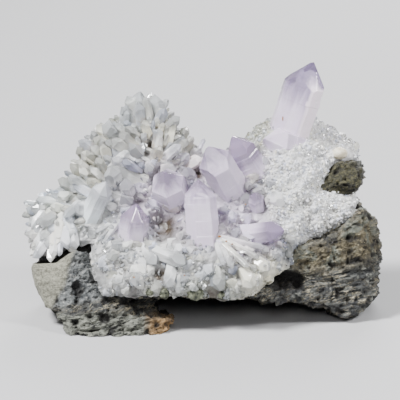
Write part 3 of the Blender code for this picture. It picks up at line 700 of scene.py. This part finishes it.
# %% Middle and lower druse
MIDDLE = [
    (-34.0, 40.0), (-26.0, 45.0), (-21.0, 42.6), (-16.0, 47.0), (-9.0, 47.0), (-2.0, 48.0), (2.0, 51.0), (7.0, 51.6),
    (13.0, 53.0), (18.0, 48.0), (20.0, 36.0), (22.0, 27.0), (14.0, 24.0), (-30.0, 24.0), (-31.0, 26.0), (-35.0, 31.0),
]
LOWER = [
    (-30.6, 26.0), (-30.8, 20.0), (-28.8, 14.4), (-27.2, 11.8), (-11.8, 11.4), (1.2, 11.0), (8.2, 10.4), (13.8, 11.6),
    (16.8, 14.2), (20.4, 17.2), (25.4, 20.0), (26.4, 25.0), (22.0, 30.0), (12.0, 26.0), (-8.0, 24.0), (-20.0, 27.0),
]
middle_bm = bmesh.new()
middle_growth = dict(centre=(-4.0, 32.0), stain=0.04)
middle_count = scatter(middle_bm, MIDDLE, 84, 3.1, (3.2, 6.2), (5.0, 8.0), 5, lean=0.9, sunk=0.55, milk=0.7, **middle_growth)
middle_count += scatter(middle_bm, MIDDLE, 420, 1.05, (0.7, 1.8), (1.3, 3.2), 6, sway=0.5, bare=0.3, **middle_growth)
print("middle crystals:", middle_count)
finish_piece(middle_bm, "middle_druse", ["quartz_crust"], [druse_quartz])
lower_bm = bmesh.new()
lower_growth = dict(centre=(2.0, 32.0), stain=0.06)
lower_count = scatter(lower_bm, LOWER, 84, 3.0, (3.0, 6.0), (4.8, 7.6), 7, lean=0.9, sunk=0.55, milk=0.7, **lower_growth)
lower_count += scatter(lower_bm, LOWER, 560, 1.0, (0.6, 1.7), (1.2, 2.8), 8, sway=0.5, bare=0.25, **lower_growth)
print("lower crystals:", lower_count)
finish_piece(lower_bm, "lower_druse", ["quartz_crust"], [druse_quartz])

# %% [markdown]
# ### The sugary right side
# Here the crust is a white lump of grains about 1 mm across, which glitter, and a few larger crystals
# sit deep between them.

# %% Right sugar
RIGHT = [
    (9.0, 52.4), (10.4, 54.2), (14.6, 58.0), (18.0, 60.6), (22.0, 60.8), (28.0, 61.4), (31.6, 61.6), (35.0, 59.2),
    (39.4, 56.6), (44.6, 53.6), (44.2, 49.2), (41.0, 47.8), (38.2, 47.8), (35.4, 46.4), (33.8, 43.6), (34.0, 40.6),
    (39.0, 40.0), (43.0, 39.6), (43.8, 36.4), (40.6, 30.8), (36.4, 29.0), (30.4, 26.4),
    (26.6, 24.2), (24.0, 22.0), (20.0, 27.0), (18.0, 40.0), (16.0, 48.0), (12.0, 50.0),
]
sugar_bm = bmesh.new()
sugar_growth = dict(centre=(26.0, 40.0), stain=0.0)
sugar_count = scatter(
    sugar_bm, RIGHT, 70, 3.4, (2.4, 4.2), (3.2, 5.4), 9, fan=0.2, sunk=0.6, milk=0.8, tones=(0.86, 1.05), **sugar_growth
)
sugar_count += scatter(
    sugar_bm, RIGHT, 2200, 0.62, (0.6, 1.5), (0.9, 2.0), 10, fan=0.2, sway=0.6, milk=1.0, tones=(0.92, 1.08), **sugar_growth
)
print("sugar crystals:", sugar_count)
finish_piece(sugar_bm, "right_sugar", ["quartz_crust"], [druse_quartz])

# %% [markdown]
# ### Crystals of middling size
# These stand out of the crust at places that the eye remembers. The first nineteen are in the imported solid, with
# the same tips and roots. The others are given by where they leave the bed.

# %% Finer crystals
def grown_column(length, sides, drops, seed, bevel, angle=POINT_ANGLE, taper=0.02, step_mm=1.6):
    """A finer crystal: worn edges, and shallow growth steps across its column."""
    dice = random.Random(seed)
    bm = quartz_block(length, sides, drops, angle, taper)
    bmesh.ops.bevel(
        bm, geom=bm.edges[:], offset=bevel, offset_type="OFFSET", segments=2, profile=0.5, affect="EDGES", material=-1
    )
    steps = []
    height = -1.35 * max(distance for _, distance in sides)
    while height > -length:
        steps.append((height, dice.gauss(0.0, 0.012), Vector((dice.gauss(0, 0.05), dice.gauss(0, 0.05)))))
        for level in (height, height - 0.14):
            bmesh.ops.bisect_plane(
                bm,
                geom=bm.verts[:] + bm.edges[:] + bm.faces[:],
                plane_co=(0.0, 0.0, level),
                plane_no=(dice.gauss(0, 0.02), dice.gauss(0, 0.02), 1.0),
            )
        height -= step_mm * dice.uniform(0.5, 1.8)
    for v in bm.verts:
        passed = [s for s in steps if v.co.z < s[0] - 0.07]
        v.co.xy = v.co.xy * (1.0 + sum(s[1] for s in passed)) + sum((s[2] for s in passed), Vector((0.0, 0.0)))
    bmesh.ops.recalc_face_normals(bm, faces=bm.faces)
    return crystal_mesh(bm, length, seed)


def add_column(bm, tip, root, width, flatness, turn, seed, tone, milk, stain, bevel=0.08):
    """One finer crystal from root to tip."""
    dice = random.Random(seed)
    sides = uneven_sides(dice, width, flatness)
    drops = [0.0 if step % 2 == 0 else dice.uniform(0.05, 0.2) * width for step in range(6)]
    shape = grown_column((Vector(tip) - Vector(root)).length, sides, drops, seed, bevel)
    add_mesh(bm, shape, stand_along(tip, root, turn), tone=tone, milk=milk, stain=stain)


# %% Middling crystals
# (tip, root, width, flatness)
MIDDLING = [
    ((-17.4, 68.5, -25.4), (-20.0, 57.0, -27.5), 4.8, 0.7), ((-13.4, 67.8, -25.0), (-11.6, 57.0, -27.0), 4.6, 0.8),
    ((-21.4, 64.6, -24.0), (-22.0, 54.0, -26.5), 4.0, 0.7), ((-28.6, 58.8, -20.6), (-23.0, 55.0, -25.0), 4.2, 0.8),
    ((-25.0, 60.0, -22.0), (-23.0, 54.0, -26.0), 3.8, 0.8), ((-26.8, 46.8, -14.6), (-15.6, 42.4, -18.4), 5.0, 0.6),
    ((-22.0, 43.6, -12.0), (-20.4, 38.0, -17.5), 4.2, 0.9), ((-5.6, 51.6, -20.0), (-11.0, 47.0, -24.0), 3.4, 0.8),
    ((-4.4, 46.8, -14.0), (-3.0, 41.6, -19.5), 3.6, 0.9), ((-23.4, 19.0, -4.6), (-20.4, 25.0, -10.0), 6.0, 0.9),
    ((17.0, 20.6, -4.2), (8.0, 25.0, -10.0), 3.6, 0.8), ((14.4, 17.6, -3.6), (6.6, 24.0, -9.6), 3.4, 0.8),
    ((18.6, 23.6, -5.0), (9.0, 26.0, -11.0), 3.2, 0.8), ((10.0, 16.2, -3.2), (4.6, 22.6, -9.0), 3.2, 0.8),
    ((-42.6, 39.4, -16.0), (-36.0, 35.0, -19.0), 4.0, 0.6), ((-49.6, 35.6, -18.0), (-42.0, 33.0, -20.0), 3.6, 0.7),
    ((-38.6, 33.0, -9.6), (-33.6, 37.0, -17.0), 3.2, 0.7), ((-8.6, 20.0, -1.6), (-8.0, 26.0, -8.0), 4.4, 0.9),
    ((-12.8, 51.6, -17.0), (-13.6, 46.0, -21.5), 3.2, 0.9),
]
# (tip across, tip up, its height over the bed, root across, root up, width, flatness, milk)
STANDING = [
    (-20.6, 51.4, 4.2, -27.0, 46.6, 3.4, 0.5, 0.9), (-31.5, 52.9, 3.4, -27.0, 46.8, 2.8, 0.6, 0.7),
    (-18.0, 13.8, 3.0, -18.0, 26.6, 5.2, 0.8, 0.7), (-4.6, 20.4, 2.6, -14.7, 24.2, 5.2, 0.7, 0.6),
    (-29.0, 26.6, 2.6, -23.9, 31.6, 1.4, 0.8, 0.5), (-27.6, 25.6, 2.8, -23.7, 31.6, 1.4, 0.8, 0.5),
    (-29.8, 28.8, 2.6, -24.0, 32.0, 1.4, 0.8, 0.5), (19.5, 40.2, 3.6, 21.6, 36.0, 4.2, 0.9, 0.9),
    (2.7, 44.6, 3.0, 4.3, 40.6, 2.4, 0.9, 0.1),
    (13.9, 13.7, 2.6, 11.0, 19.0, 4.4, 0.8, 0.9), (18.3, 18.2, 2.6, 13.0, 22.0, 4.0, 0.8, 0.9),
    (16.7, 15.0, 2.4, 11.6, 20.0, 3.2, 0.8, 0.9), (12.7, 19.3, 3.2, 4.4, 27.0, 1.8, 0.8, 0.6),
    (15.6, 21.8, 3.6, 4.6, 27.4, 1.8, 0.8, 0.6), (8.3, 18.8, 3.0, 4.2, 26.8, 1.8, 0.8, 0.6),
    (6.0, 19.8, 2.8, 3.8, 26.6, 1.7, 0.8, 0.6), (17.4, 24.4, 3.6, 5.0, 27.2, 1.8, 0.8, 0.6),
    (-34.6, 49.0, 2.8, -30.0, 43.6, 3.0, 0.6, 0.5), (-37.4, 44.6, 2.8, -31.6, 40.4, 3.0, 0.6, 0.5),
    (-45.6, 36.6, 2.8, -38.0, 34.0, 3.0, 0.6, 0.5), (-42.0, 36.6, 3.6, -35.0, 34.8, 3.0, 0.6, 0.5),
    (-9.6, 13.6, 2.6, -7.8, 22.0, 3.2, 0.9, 0.7), (-6.6, 11.8, 1.6, -5.4, 20.0, 2.6, 0.9, 0.5),
    (4.8, 12.6, 2.4, 3.6, 21.0, 4.4, 0.8, 0.4), (9.8, 11.8, 1.4, 8.4, 17.0, 2.8, 0.9, 0.8),
    (-24.0, 12.8, 1.4, -22.4, 18.0, 4.0, 0.8, 0.6), (-13.0, 20.0, 2.6, -17.4, 24.6, 3.8, 0.8, 0.6),
]
middling_bm = bmesh.new()
for number, (tip, root, width, flatness) in enumerate(MIDDLING):
    dice = random.Random(100 + number)
    colour = crust_colour(tip[0], tip[1])
    add_column(middling_bm, tip, root, width, flatness, dice.uniform(0, 60), number, colour, dice.uniform(0.2, 0.6), 0.1)
for number, (tip_x, tip_y, rise, root_x, root_y, width, flatness, milk) in enumerate(STANDING):
    tip_foot = foot_on_bed(tip_x, tip_y)[0] or foot_on_bed(root_x, root_y)[0]
    tip = Vector((tip_x, tip_y, tip_foot.z + rise))
    root = foot_on_bed(root_x, root_y)[0] - VIEWER * width * 0.5
    colour = crust_colour(tip_x, tip_y)
    add_column(middling_bm, tip, root, width, flatness, 53.0 * number, 500 + number, colour, milk, 0.1)
finish_piece(middling_bm, "middling_crystals", ["quartz_crust"], [druse_quartz])

# %% [markdown]
# ## Large crystals
# Nine of them carry the specimen. The main one leans to the right and ends in a clean glassy point, and milk clouds its
# foot. Its broad front-left side, a narrow bright strip and a narrow side to the right are what the light picks out, so
# its seven sides are listed one by one. The others follow the imported solids.

# %% Main amethyst
MAIN_SIDES = [(-20.0, 4.4), (10.0, 5.36), (40.0, 5.45), (100.0, 4.46), (160.0, 3.4), (220.0, 4.6), (-80.0, 5.97)]
MAIN_DROPS = [0.0, 1.1, 0.35, 0.5, 0.2, 0.4, 0.0]
MAIN_TIP, MAIN_ROOT = Vector((31.4, 76.7, -25.0)), Vector((22.8, 50.0, -30.5))
AMETHYST_TONE = Vector((0.68, 0.59, 0.75))
# Painted highlight: the narrow strip face, which catches the light, is given this paler, pinker tone and more milk.
STRIP_HIGHLIGHT_TONE = Vector((0.92, 0.80, 0.90))
STRIP = (40.0, 5.45)
main_bm = bmesh.new()
main_column = grown_column((MAIN_TIP - MAIN_ROOT).length, MAIN_SIDES, MAIN_DROPS, 3, 0.12, step_mm=2.4)
strip_way = Vector((math.cos(math.radians(STRIP[0])), math.sin(math.radians(STRIP[0])), 0.0))
on_highlit_strip = [v.co.dot(strip_way) > STRIP[1] - 0.25 for v in main_column.vertices]
# Painted highlight: vertices on the strip face take the paler tone and more milk.
add_mesh(
    main_bm,
    main_column,
    stand_along(MAIN_TIP, MAIN_ROOT),
    tone=[number for bright in on_highlit_strip for number in (*(STRIP_HIGHLIGHT_TONE if bright else AMETHYST_TONE), 1.0)],
    milk=[0.95 if bright else 0.62 for bright in on_highlit_strip],
    stain=0.1,
)
finish_piece(main_bm, "main_amethyst", ["main_amethyst_point"], [main_quartz])

# %% [markdown]
# At its foot a stubby milky crystal points left. It could be cut to the main crystal with a Boolean. But the two
# only cross inside, where nobody looks, so it simply stands through the other as a piece of its own.

# %% Crystal at its foot
COMPANION_TIP, COMPANION_ROOT = Vector((17.2, 55.2, -19.5)), Vector((28.0, 51.4, -29.0))
companion_sides = uneven_sides(random.Random(11), 9.0, 0.9)
companion_bm = bmesh.new()
add_mesh(
    companion_bm,
    grown_column((COMPANION_TIP - COMPANION_ROOT).length, companion_sides, [0.8, 0.2, 1.2, 0.0, 0.6, 0.9], 11, 0.2),
    stand_along(COMPANION_TIP, COMPANION_ROOT, 20.0),
    tone=AMETHYST_TONE,
    milk=1.0,
    stain=0.0,
)
finish_piece(companion_bm, "companion_amethyst", ["main_amethyst_point"], [violet_quartz])

# %% The other large crystals
# (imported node, tip, root, width, flatness, turn, drops of the six point faces, milk)
LARGE = [
    ("centre_amethyst_point", (1.6, 52.0, -7.0), (9.0, 39.0, -18.6), 9.0, 0.94, 0.0, (2.4, 0.4, 0.0, 0.0, 0.2, 0.6), 0.75),
    ("leaning_amethyst_point", (8.4, 55.8, -16.0), (17.2, 42.4, -22.5), 8.2, 0.9, 38.0, (0.0, 0.6, 0.2, 0.4, 0.0, 0.8), 0.45),
    ("round_amethyst_point", (-10.8, 45.8, -6.6), (-7.8, 37.2, -18.0), 9.2, 0.96, 10.0, (0.4, 0.0, 0.9, 0.2, 0.6, 0.3), 0.7),
    ("tall_amethyst_point", (-1.0, 43.6, -5.0), (0.4, 21.6, -7.0), 8.2, 0.9, 4.0, (0.0, 1.4, 0.3, 1.1, 0.2, 0.9), 0.8),
    ("faceted_amethyst_point", (-18.2, 36.8, -5.6), (-20.4, 22.2, -12.0), 7.8, 0.95, 15.0, (0.0, 0.9, 0.2, 0.7, 0.1, 0.5), 0.6),
    ("clear_quartz_point", (-26.8, 43.0, -9.4), (-34.0, 27.6, -18.0), 6.0, 0.85, 22.0, (0.0, 0.6, 0.1, 0.4, 0.2, 0.3), 0.62),
    ("lying_amethyst_point", (22.8, 29.4, -3.6), (8.4, 27.4, -12.0), 6.2, 0.9, 24.0, (0.0, 0.5, 0.2, 0.7, 0.1, 0.4), 0.6),
    ("small_amethyst_point", (14.6, 40.0, -11.5), (15.8, 32.6, -18.0), 4.6, 0.9, 16.0, (0.0, 0.3, 0.1, 0.4, 0.2, 0.5), 0.7),
]
for number, (node, tip, root, width, flatness, turn, drops, milk) in enumerate(LARGE):
    sides = uneven_sides(random.Random(200 + number), width, flatness, 0.06)
    column = grown_column((Vector(tip) - Vector(root)).length, sides, drops, 300 + number, 0.12)
    clear = node.startswith("clear")
    slot, finish = ("clear_quartz", glassy_quartz) if clear else ("amethyst", violet_quartz)
    large_bm = bmesh.new()
    add_mesh(large_bm, column, stand_along(tip, root, turn), tone=ICE * 1.25 if clear else AMETHYST_TONE, milk=milk, stain=0.03)
    finish_piece(large_bm, node.replace("_point", ""), [node], [finish])

# %% [markdown]
# ## The rock
# A dark layered volcanic rock, broken on all sides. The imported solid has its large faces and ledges. Sculpting
# by hand could add the rest, but a rule does it evenly all round: the solid is remeshed into small even cells, and
# each vertex moves along its normal. Flat chips come from cells that each tilt their own way, and the thin ledges
# from the layers, which slant up to the right.

# %% Even mesh of the rock
ROCK_CELL = 0.6


def remeshed(node, cell_mm):
    """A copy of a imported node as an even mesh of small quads."""
    bm = bmesh.new()
    bm.from_mesh(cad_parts[node].data)
    bmesh.ops.remove_doubles(bm, verts=bm.verts, dist=0.000001)
    mesh = bpy.data.meshes.new("even")
    bm.to_mesh(mesh)
    bm.free()
    made = bpy.data.objects.new("even", mesh)
    bpy.context.scene.collection.objects.link(made)
    even = made.modifiers.new("even", "REMESH")
    even.mode = "VOXEL"
    even.voxel_size = cell_mm * MM
    bpy.context.view_layer.update()
    result = bpy.data.meshes.new_from_object(made.evaluated_get(bpy.context.evaluated_depsgraph_get()))
    bpy.data.objects.remove(made)
    return result


rock_mesh = remeshed("matrix_rock", ROCK_CELL)
print("rock vertices:", len(rock_mesh.vertices))

# %% Weathering and painted shade
def layer_of(across, up, toward):
    """Height across the rock's slanting layers, in mm, waved a little."""
    return up - 0.2 * across + 0.1 * toward + 1.5 * noise.noise(Vector((across, up, toward)) * 0.05)


def edge_share(point, outline, soft):
    """1 well inside the outline, 0 well outside, and soft millimetres between."""
    gap = nearest_on(point, outline)[1]
    return max(0.0, min(1.0, 0.5 + (gap if inside(point, outline) else -gap) / soft))


# name: (outline in across and up, soft edge in mm)
ROCK_PARTS = {
    "beige": ([
        (-48.5, 21.0), (-41.4, 21.6), (-38.8, 22.4), (-35.4, 24.6), (-37.0, 19.6), (-38.2, 14.4), (-40.7, 10.4),
        (-42.6, 6.6), (-50.0, 6.0),
    ], 1.2),
    "ochre": ([
        (24.0, 25.0), (31.0, 25.4), (36.4, 26.6), (41.4, 32.0), (43.6, 37.4), (47.0, 34.0), (50.6, 24.0),
        (46.0, 20.4), (36.0, 18.6), (28.0, 17.6), (24.0, 20.0),
    ], 4.0),
    "window": ([(32.6, 39.0), (46.0, 39.0), (47.0, 49.4), (33.0, 49.4)], 2.0),
    "mottled": ([
        (-37.2, 24.0), (-30.0, 26.0), (-29.0, 15.0), (-26.0, 10.4), (-34.0, 8.6), (-43.0, 7.4), (-40.0, 12.0),
    ], 1.6),
    "flake": ([(-42.0, 6.2), (-32.0, 6.4), (-20.0, 6.6), (-15.0, 4.6), (-14.0, -4.0), (-42.0, -4.0)], 1.4),
    "rusty": ([(-15.0, 5.4), (-4.0, 6.0), (-6.0, -2.0), (-15.0, -2.0)], 3.0),
}
# The crack under the white block and the cavity under the crust's lower right edge are pressed in, and also painted
# black as painted shade.
CRACK = [
    (-47.7, 21.2), (-44.9, 21.6), (-41.3, 21.6), (-38.6, 23.5), (-36.0, 25.2), (-32.9, 26.0), (-30.9, 24.1),
    (-36.0, 25.2), (-41.3, 21.6),
]
CRACK_WIDTH = 1.3
CAVITY = (22.4, 15.4, 6.6, 2.8)
CAVITY_DEPTH = 5.0
WINDOW_SUNK = 2.5
CLEARED = 3.5
rock_names = (*ROCK_PARTS, "layer", "shade")
rock_values = {name: [] for name in rock_names}
rock_normals = [v.normal.copy() for v in rock_mesh.vertices]
for v, normal in zip(rock_mesh.vertices, rock_normals):
    place = TO_FACE @ v.co
    across, up, toward = place
    spot = (across, up)
    facing = (TO_FACE.to_3x3() @ normal).normalized().z
    front = max(0.0, min(1.0, (toward + 34.0) / 8.0))
    part = {name: edge_share(spot, outline, soft) * front for name, (outline, soft) in ROCK_PARTS.items()}
    beige, ochre = part["beige"], part["ochre"]
    crack = max(0.0, 1.0 - nearest_on(spot, CRACK)[1] / CRACK_WIDTH) * front
    layer = layer_of(across, up, toward)
    bands = Vector((across * 0.18, layer * 0.9, toward * 0.18))
    sheet = noise.noise(bands) + 0.7 * noise.noise(bands * 2.1)
    wide = layer / 3.3 + 0.7 * noise.noise(place * 0.09)
    shelf = (wide - math.floor(wide)) - 0.5
    layered = max(0.0, 1.0 - 1.2 * beige - 0.7 * part["window"] - 0.6 * part["mottled"])
    pit = max(0.0, noise.noise(place * 0.33) - 0.22) * 3.2 + max(0.0, noise.noise(place * 0.9) - 0.22) * 1.8
    under_crust = nearest_on(spot, CRUST_OUTLINE)[1] - 2.0
    covered = facing > 0.2 and inside(spot, CRUST_OUTLINE) and under_crust > 0.0
    push = 0.9 * chips(place, 6.5) + (0.8 + 0.5 * ochre) * chips(place, 2.4, 7.0) + 0.4 * noise.noise(place * 1.2)
    push += layered * (0.5 * shelf + 1.0 * sheet * (1.0 - 0.6 * ochre)) - pit * (1.0 - 0.8 * beige)
    push *= 1.0 - 0.65 * beige
    if abs(across) > 46.0:
        push = min(push, 0.5)
    if covered:
        push = min(push, 0.0) * 0.4 - 0.3 - min(CLEARED, under_crust)
    hole = 0.0
    if facing > 0.1 and toward > -20.0:
        hole = max(0.0, 1.0 - ((across - CAVITY[0]) / CAVITY[2]) ** 2 - ((up - CAVITY[1]) / CAVITY[3]) ** 2)
    if facing > 0.2 and -30.0 < toward < crust_depth(across, up, EDGE_ROLL) - WINDOW_SUNK:
        lift = crust_depth(across, up, EDGE_ROLL) - WINDOW_SUNK - toward
        v.co += STAND.to_3x3() @ VIEWER * lift * part["window"]
    v.co += normal * (push - 1.6 * crack) * MM
    v.co -= STAND.to_3x3() @ VIEWER * CAVITY_DEPTH * math.sqrt(hole)
    v.co.z = max(0.0, v.co.z)
    for name, value in part.items():
        rock_values[name].append(value)
    # Painted shade: darker in pits and recessed layers, and black in the cavity and the crack.
    painted_shade_share = (0.9 * pit - 0.6 * sheet * layered) * (1.0 - beige) + 3.0 * hole + 2.0 * crack
    rock_values["layer"].append(layer)
    rock_values["shade"].append(max(0.0, min(1.0, painted_shade_share)))
for name in rock_names:
    rock_mesh.attributes.new(name, "FLOAT", "POINT").data.foreach_set("value", rock_values[name])
print("rock weathered")

# %% [markdown]
# The rock's colours: near black with thin grey and cream layers below right, ochre and greenish above it, a beige
# grey face at the left with blotches beside it, and under that a grey flake with black fissures and a rusty end.
# Thin layers are where a stretched noise crosses its middle value, which draws fine lines instead of bands.

# %% Finish of the rock
rock_stone, rock_shader = new_finish("broken_rock")
rock_place = add_node(rock_stone, "SeparateXYZ", Vector=add_node(rock_stone, "TexCoord").outputs["Object"])
streak_place = add_node(
    rock_stone,
    "CombineXYZ",
    X=sum_of(rock_stone, rock_place.outputs["X"], 240.0, "MULTIPLY"),
    Y=sum_of(rock_stone, rock_place.outputs["Y"], 240.0, "MULTIPLY"),
    Z=sum_of(rock_stone, attribute(rock_stone, "layer"), 1.5, "MULTIPLY"),
).outputs[0]
streaks = add_node(rock_stone, "TexNoise", Vector=streak_place, Scale=1.0, Detail=7.0, Roughness=0.62).outputs["Fac"]
off_middle = sum_of(rock_stone, sum_of(rock_stone, streaks, 0.5, "SUBTRACT"), 0.0, "ABSOLUTE")
lines = spread(rock_stone, off_middle, 0.008, 0.028, 1.0, 0.0)
speckle = grain(rock_stone, 0.9, detail=8.0, rough=0.75)
blotch = grain(rock_stone, 2.6, detail=7.0, rough=0.68)
patches = grain(rock_stone, 8.0, detail=6.0, rough=0.6, warp=0.6)


def stone_tone(share, low, high, dark_colour, light_colour):
    return mix(rock_stone, spread(rock_stone, share, low, high), dark_colour, light_colour)


dark = stone_tone(speckle, 0.40, 0.62, rgb(0.005, 0.005, 0.006), rgb(0.055, 0.058, 0.058))
dark = stone_tone(streaks, 0.50, 0.60, dark, rgb(0.085, 0.088, 0.080))
dark = mix(rock_stone, sum_of(rock_stone, lines, spread(rock_stone, patches, 0.42, 0.58), "MULTIPLY"), dark, rgb(0.42, 0.37, 0.26))
ochre_tone = stone_tone(blotch, 0.40, 0.56, rgb(0.012, 0.010, 0.007), rgb(0.105, 0.088, 0.050))
ochre_tone = stone_tone(patches, 0.52, 0.60, ochre_tone, rgb(0.125, 0.135, 0.110))
ochre_tone = stone_tone(speckle, 0.54, 0.66, ochre_tone, rgb(0.42, 0.36, 0.22))
beige_tone = stone_tone(speckle, 0.40, 0.56, rgb(0.12, 0.118, 0.088), rgb(0.30, 0.295, 0.235))
fissures = spread(rock_stone, off_middle, 0.02, 0.06, 1.0, 0.0)
flake_tone = stone_tone(speckle, 0.38, 0.60, rgb(0.085, 0.09, 0.075), rgb(0.24, 0.245, 0.205))
flake_tone = mix(rock_stone, sum_of(rock_stone, fissures, spread(rock_stone, blotch, 0.42, 0.52), "MULTIPLY"), flake_tone, rgb(0.008, 0.008, 0.008))
rusty_tone = stone_tone(blotch, 0.40, 0.60, rgb(0.05, 0.028, 0.012), rgb(0.36, 0.22, 0.09))
mottled_tone = stone_tone(blotch, 0.42, 0.56, rgb(0.022, 0.025, 0.028), rgb(0.17, 0.18, 0.18))
mottled_tone = stone_tone(speckle, 0.54, 0.64, mottled_tone, rgb(0.40, 0.40, 0.37))
window_tone = stone_tone(speckle, 0.42, 0.60, rgb(0.014, 0.014, 0.008), rgb(0.085, 0.078, 0.038))
stone = stone_tone(blotch, 0.57, 0.66, dark, rgb(0.20, 0.205, 0.18))
part_tones = {
    "ochre": ochre_tone, "mottled": mottled_tone, "flake": flake_tone, "rusty": rusty_tone, "window": window_tone,
    "beige": beige_tone,
}
for name, tone in part_tones.items():
    stone = mix(rock_stone, attribute(rock_stone, name), stone, tone)
# Painted shade: where the shade attribute is high, the rock is painted near black.
shade = spread(rock_stone, attribute(rock_stone, "shade"), 0.1, 0.7, 0.0, 0.9)
stone = mix(rock_stone, shade, stone, rgb(0.005, 0.004, 0.004))
plug_in(rock_stone, rock_shader.inputs["Base Color"], stone)
plug_in(rock_stone, rock_shader.inputs["Roughness"], spread(rock_stone, speckle, 0.3, 0.7, 0.45, 0.9))
rock_relief = add_node(rock_stone, "Bump", Strength=1.0, Distance=0.0006, Height=sum_of(rock_stone, speckle, streaks))
plug_in(rock_stone, rock_shader.inputs["Normal"], rock_relief.outputs["Normal"])
rock_bm = bmesh.new()
rock_bm.from_mesh(rock_mesh)
finish_piece(rock_bm, "rock", ["matrix_rock"], [rock_stone], drawn_on_face=False)

# %% [markdown]
# ## Small finds
# Specks of orange iron oxide sit on some crystals, bits of green rock stick in the crust's lower edge, and a
# smooth cream pebble of chalcedony in its upper right. All are lumps: a ball of triangles, pressed and chipped.

# %% Lumps
def add_lump(bm, centre, size, seed, roughness):
    """A ball stretched to the size, its points moved by chips."""
    made = bmesh.ops.create_icosphere(bm, subdivisions=3, radius=0.5)
    for v in made["verts"]:
        push = 1.0 + roughness * (chips(v.co * 4.0, 1.0, 3.0 * seed) + 0.5 * noise.noise(v.co * 7.0))
        v.co = Vector(centre) + Vector([push * a * b for a, b in zip(v.co, size)])


def plain_stone(name, dark_colour, light_colour, wide_mm, gloss):
    """A mottled finish of two colours."""
    made, shader = new_finish(name)
    mottle = grain(made, wide_mm, detail=6.0, rough=0.65)
    plug_in(made, shader.inputs["Base Color"], mix(made, spread(made, mottle, 0.40, 0.62), dark_colour, light_colour))
    plug_in(made, shader.inputs["Roughness"], spread(made, mottle, 0.3, 0.7, gloss, gloss + 0.2))
    bump = add_node(made, "Bump", Strength=0.6, Distance=0.0003, Height=mottle)
    plug_in(made, shader.inputs["Normal"], bump.outputs["Normal"])
    return made


def on_crust(across, up, rise):
    return foot_on_bed(across, up)[0] + VIEWER * rise


# %% Cream pebble, green bits and rust
pebble_bm = bmesh.new()
add_lump(pebble_bm, on_crust(38.8, 51.0, 1.9), (4.6, 3.5, 3.4), 1, 0.10)
cream_stone = plain_stone("cream_chalcedony", rgb(0.52, 0.46, 0.34), rgb(0.80, 0.75, 0.62), 1.6, 0.30)
finish_piece(pebble_bm, "cream_pebble", ["quartz_crust"], [cream_stone])
# (across, up, rise, width, height)
GREEN_BITS = [(-10.6, 11.9, 0.6, 2.8, 3.0), (-2.0, 11.8, 0.6, 4.4, 3.8), (-14.6, 12.2, 0.2, 2.2, 2.0), (5.6, 11.4, 0.3, 2.6, 2.2)]
green_bm = bmesh.new()
for number, (across, up, rise, width, height) in enumerate(GREEN_BITS):
    add_lump(green_bm, on_crust(across, up, rise), (width, height, 3.4), number, 0.5)
green_stone = plain_stone("green_rock", rgb(0.022, 0.026, 0.016), rgb(0.15, 0.16, 0.105), 1.2, 0.5)
finish_piece(green_bm, "green_rock_bits", ["quartz_crust"], [green_stone])
RUST = [
    (-10.9, 42.0, 3.4, 0.7), (-1.6, 39.6, 2.0, 0.7), (-18.9, 16.5, 2.2, 0.6), (4.7, 27.7, 2.4, 0.9),
    (6.6, 26.4, 2.4, 0.7), (8.2, 25.6, 2.2, 0.6), (-5.0, 17.0, 2.0, 0.5), (12.0, 36.6, 1.6, 0.5),
]
RUST_STREAK = Vector((22.7, 60.8, -24.9))
rust_bm = bmesh.new()
add_lump(rust_bm, RUST_STREAK, (0.5, 1.8, 0.8), 30, 0.3)
for number, (across, up, rise, size) in enumerate(RUST):
    add_lump(rust_bm, on_crust(across, up, rise), (size, 0.7 * size, 0.8), number, 0.3)
rust_stone = plain_stone("iron_oxide", rgb(0.16, 0.055, 0.012), rgb(0.42, 0.20, 0.06), 0.6, 0.5)
finish_piece(rust_bm, "rust_specks", ["quartz_crust"], [rust_stone])
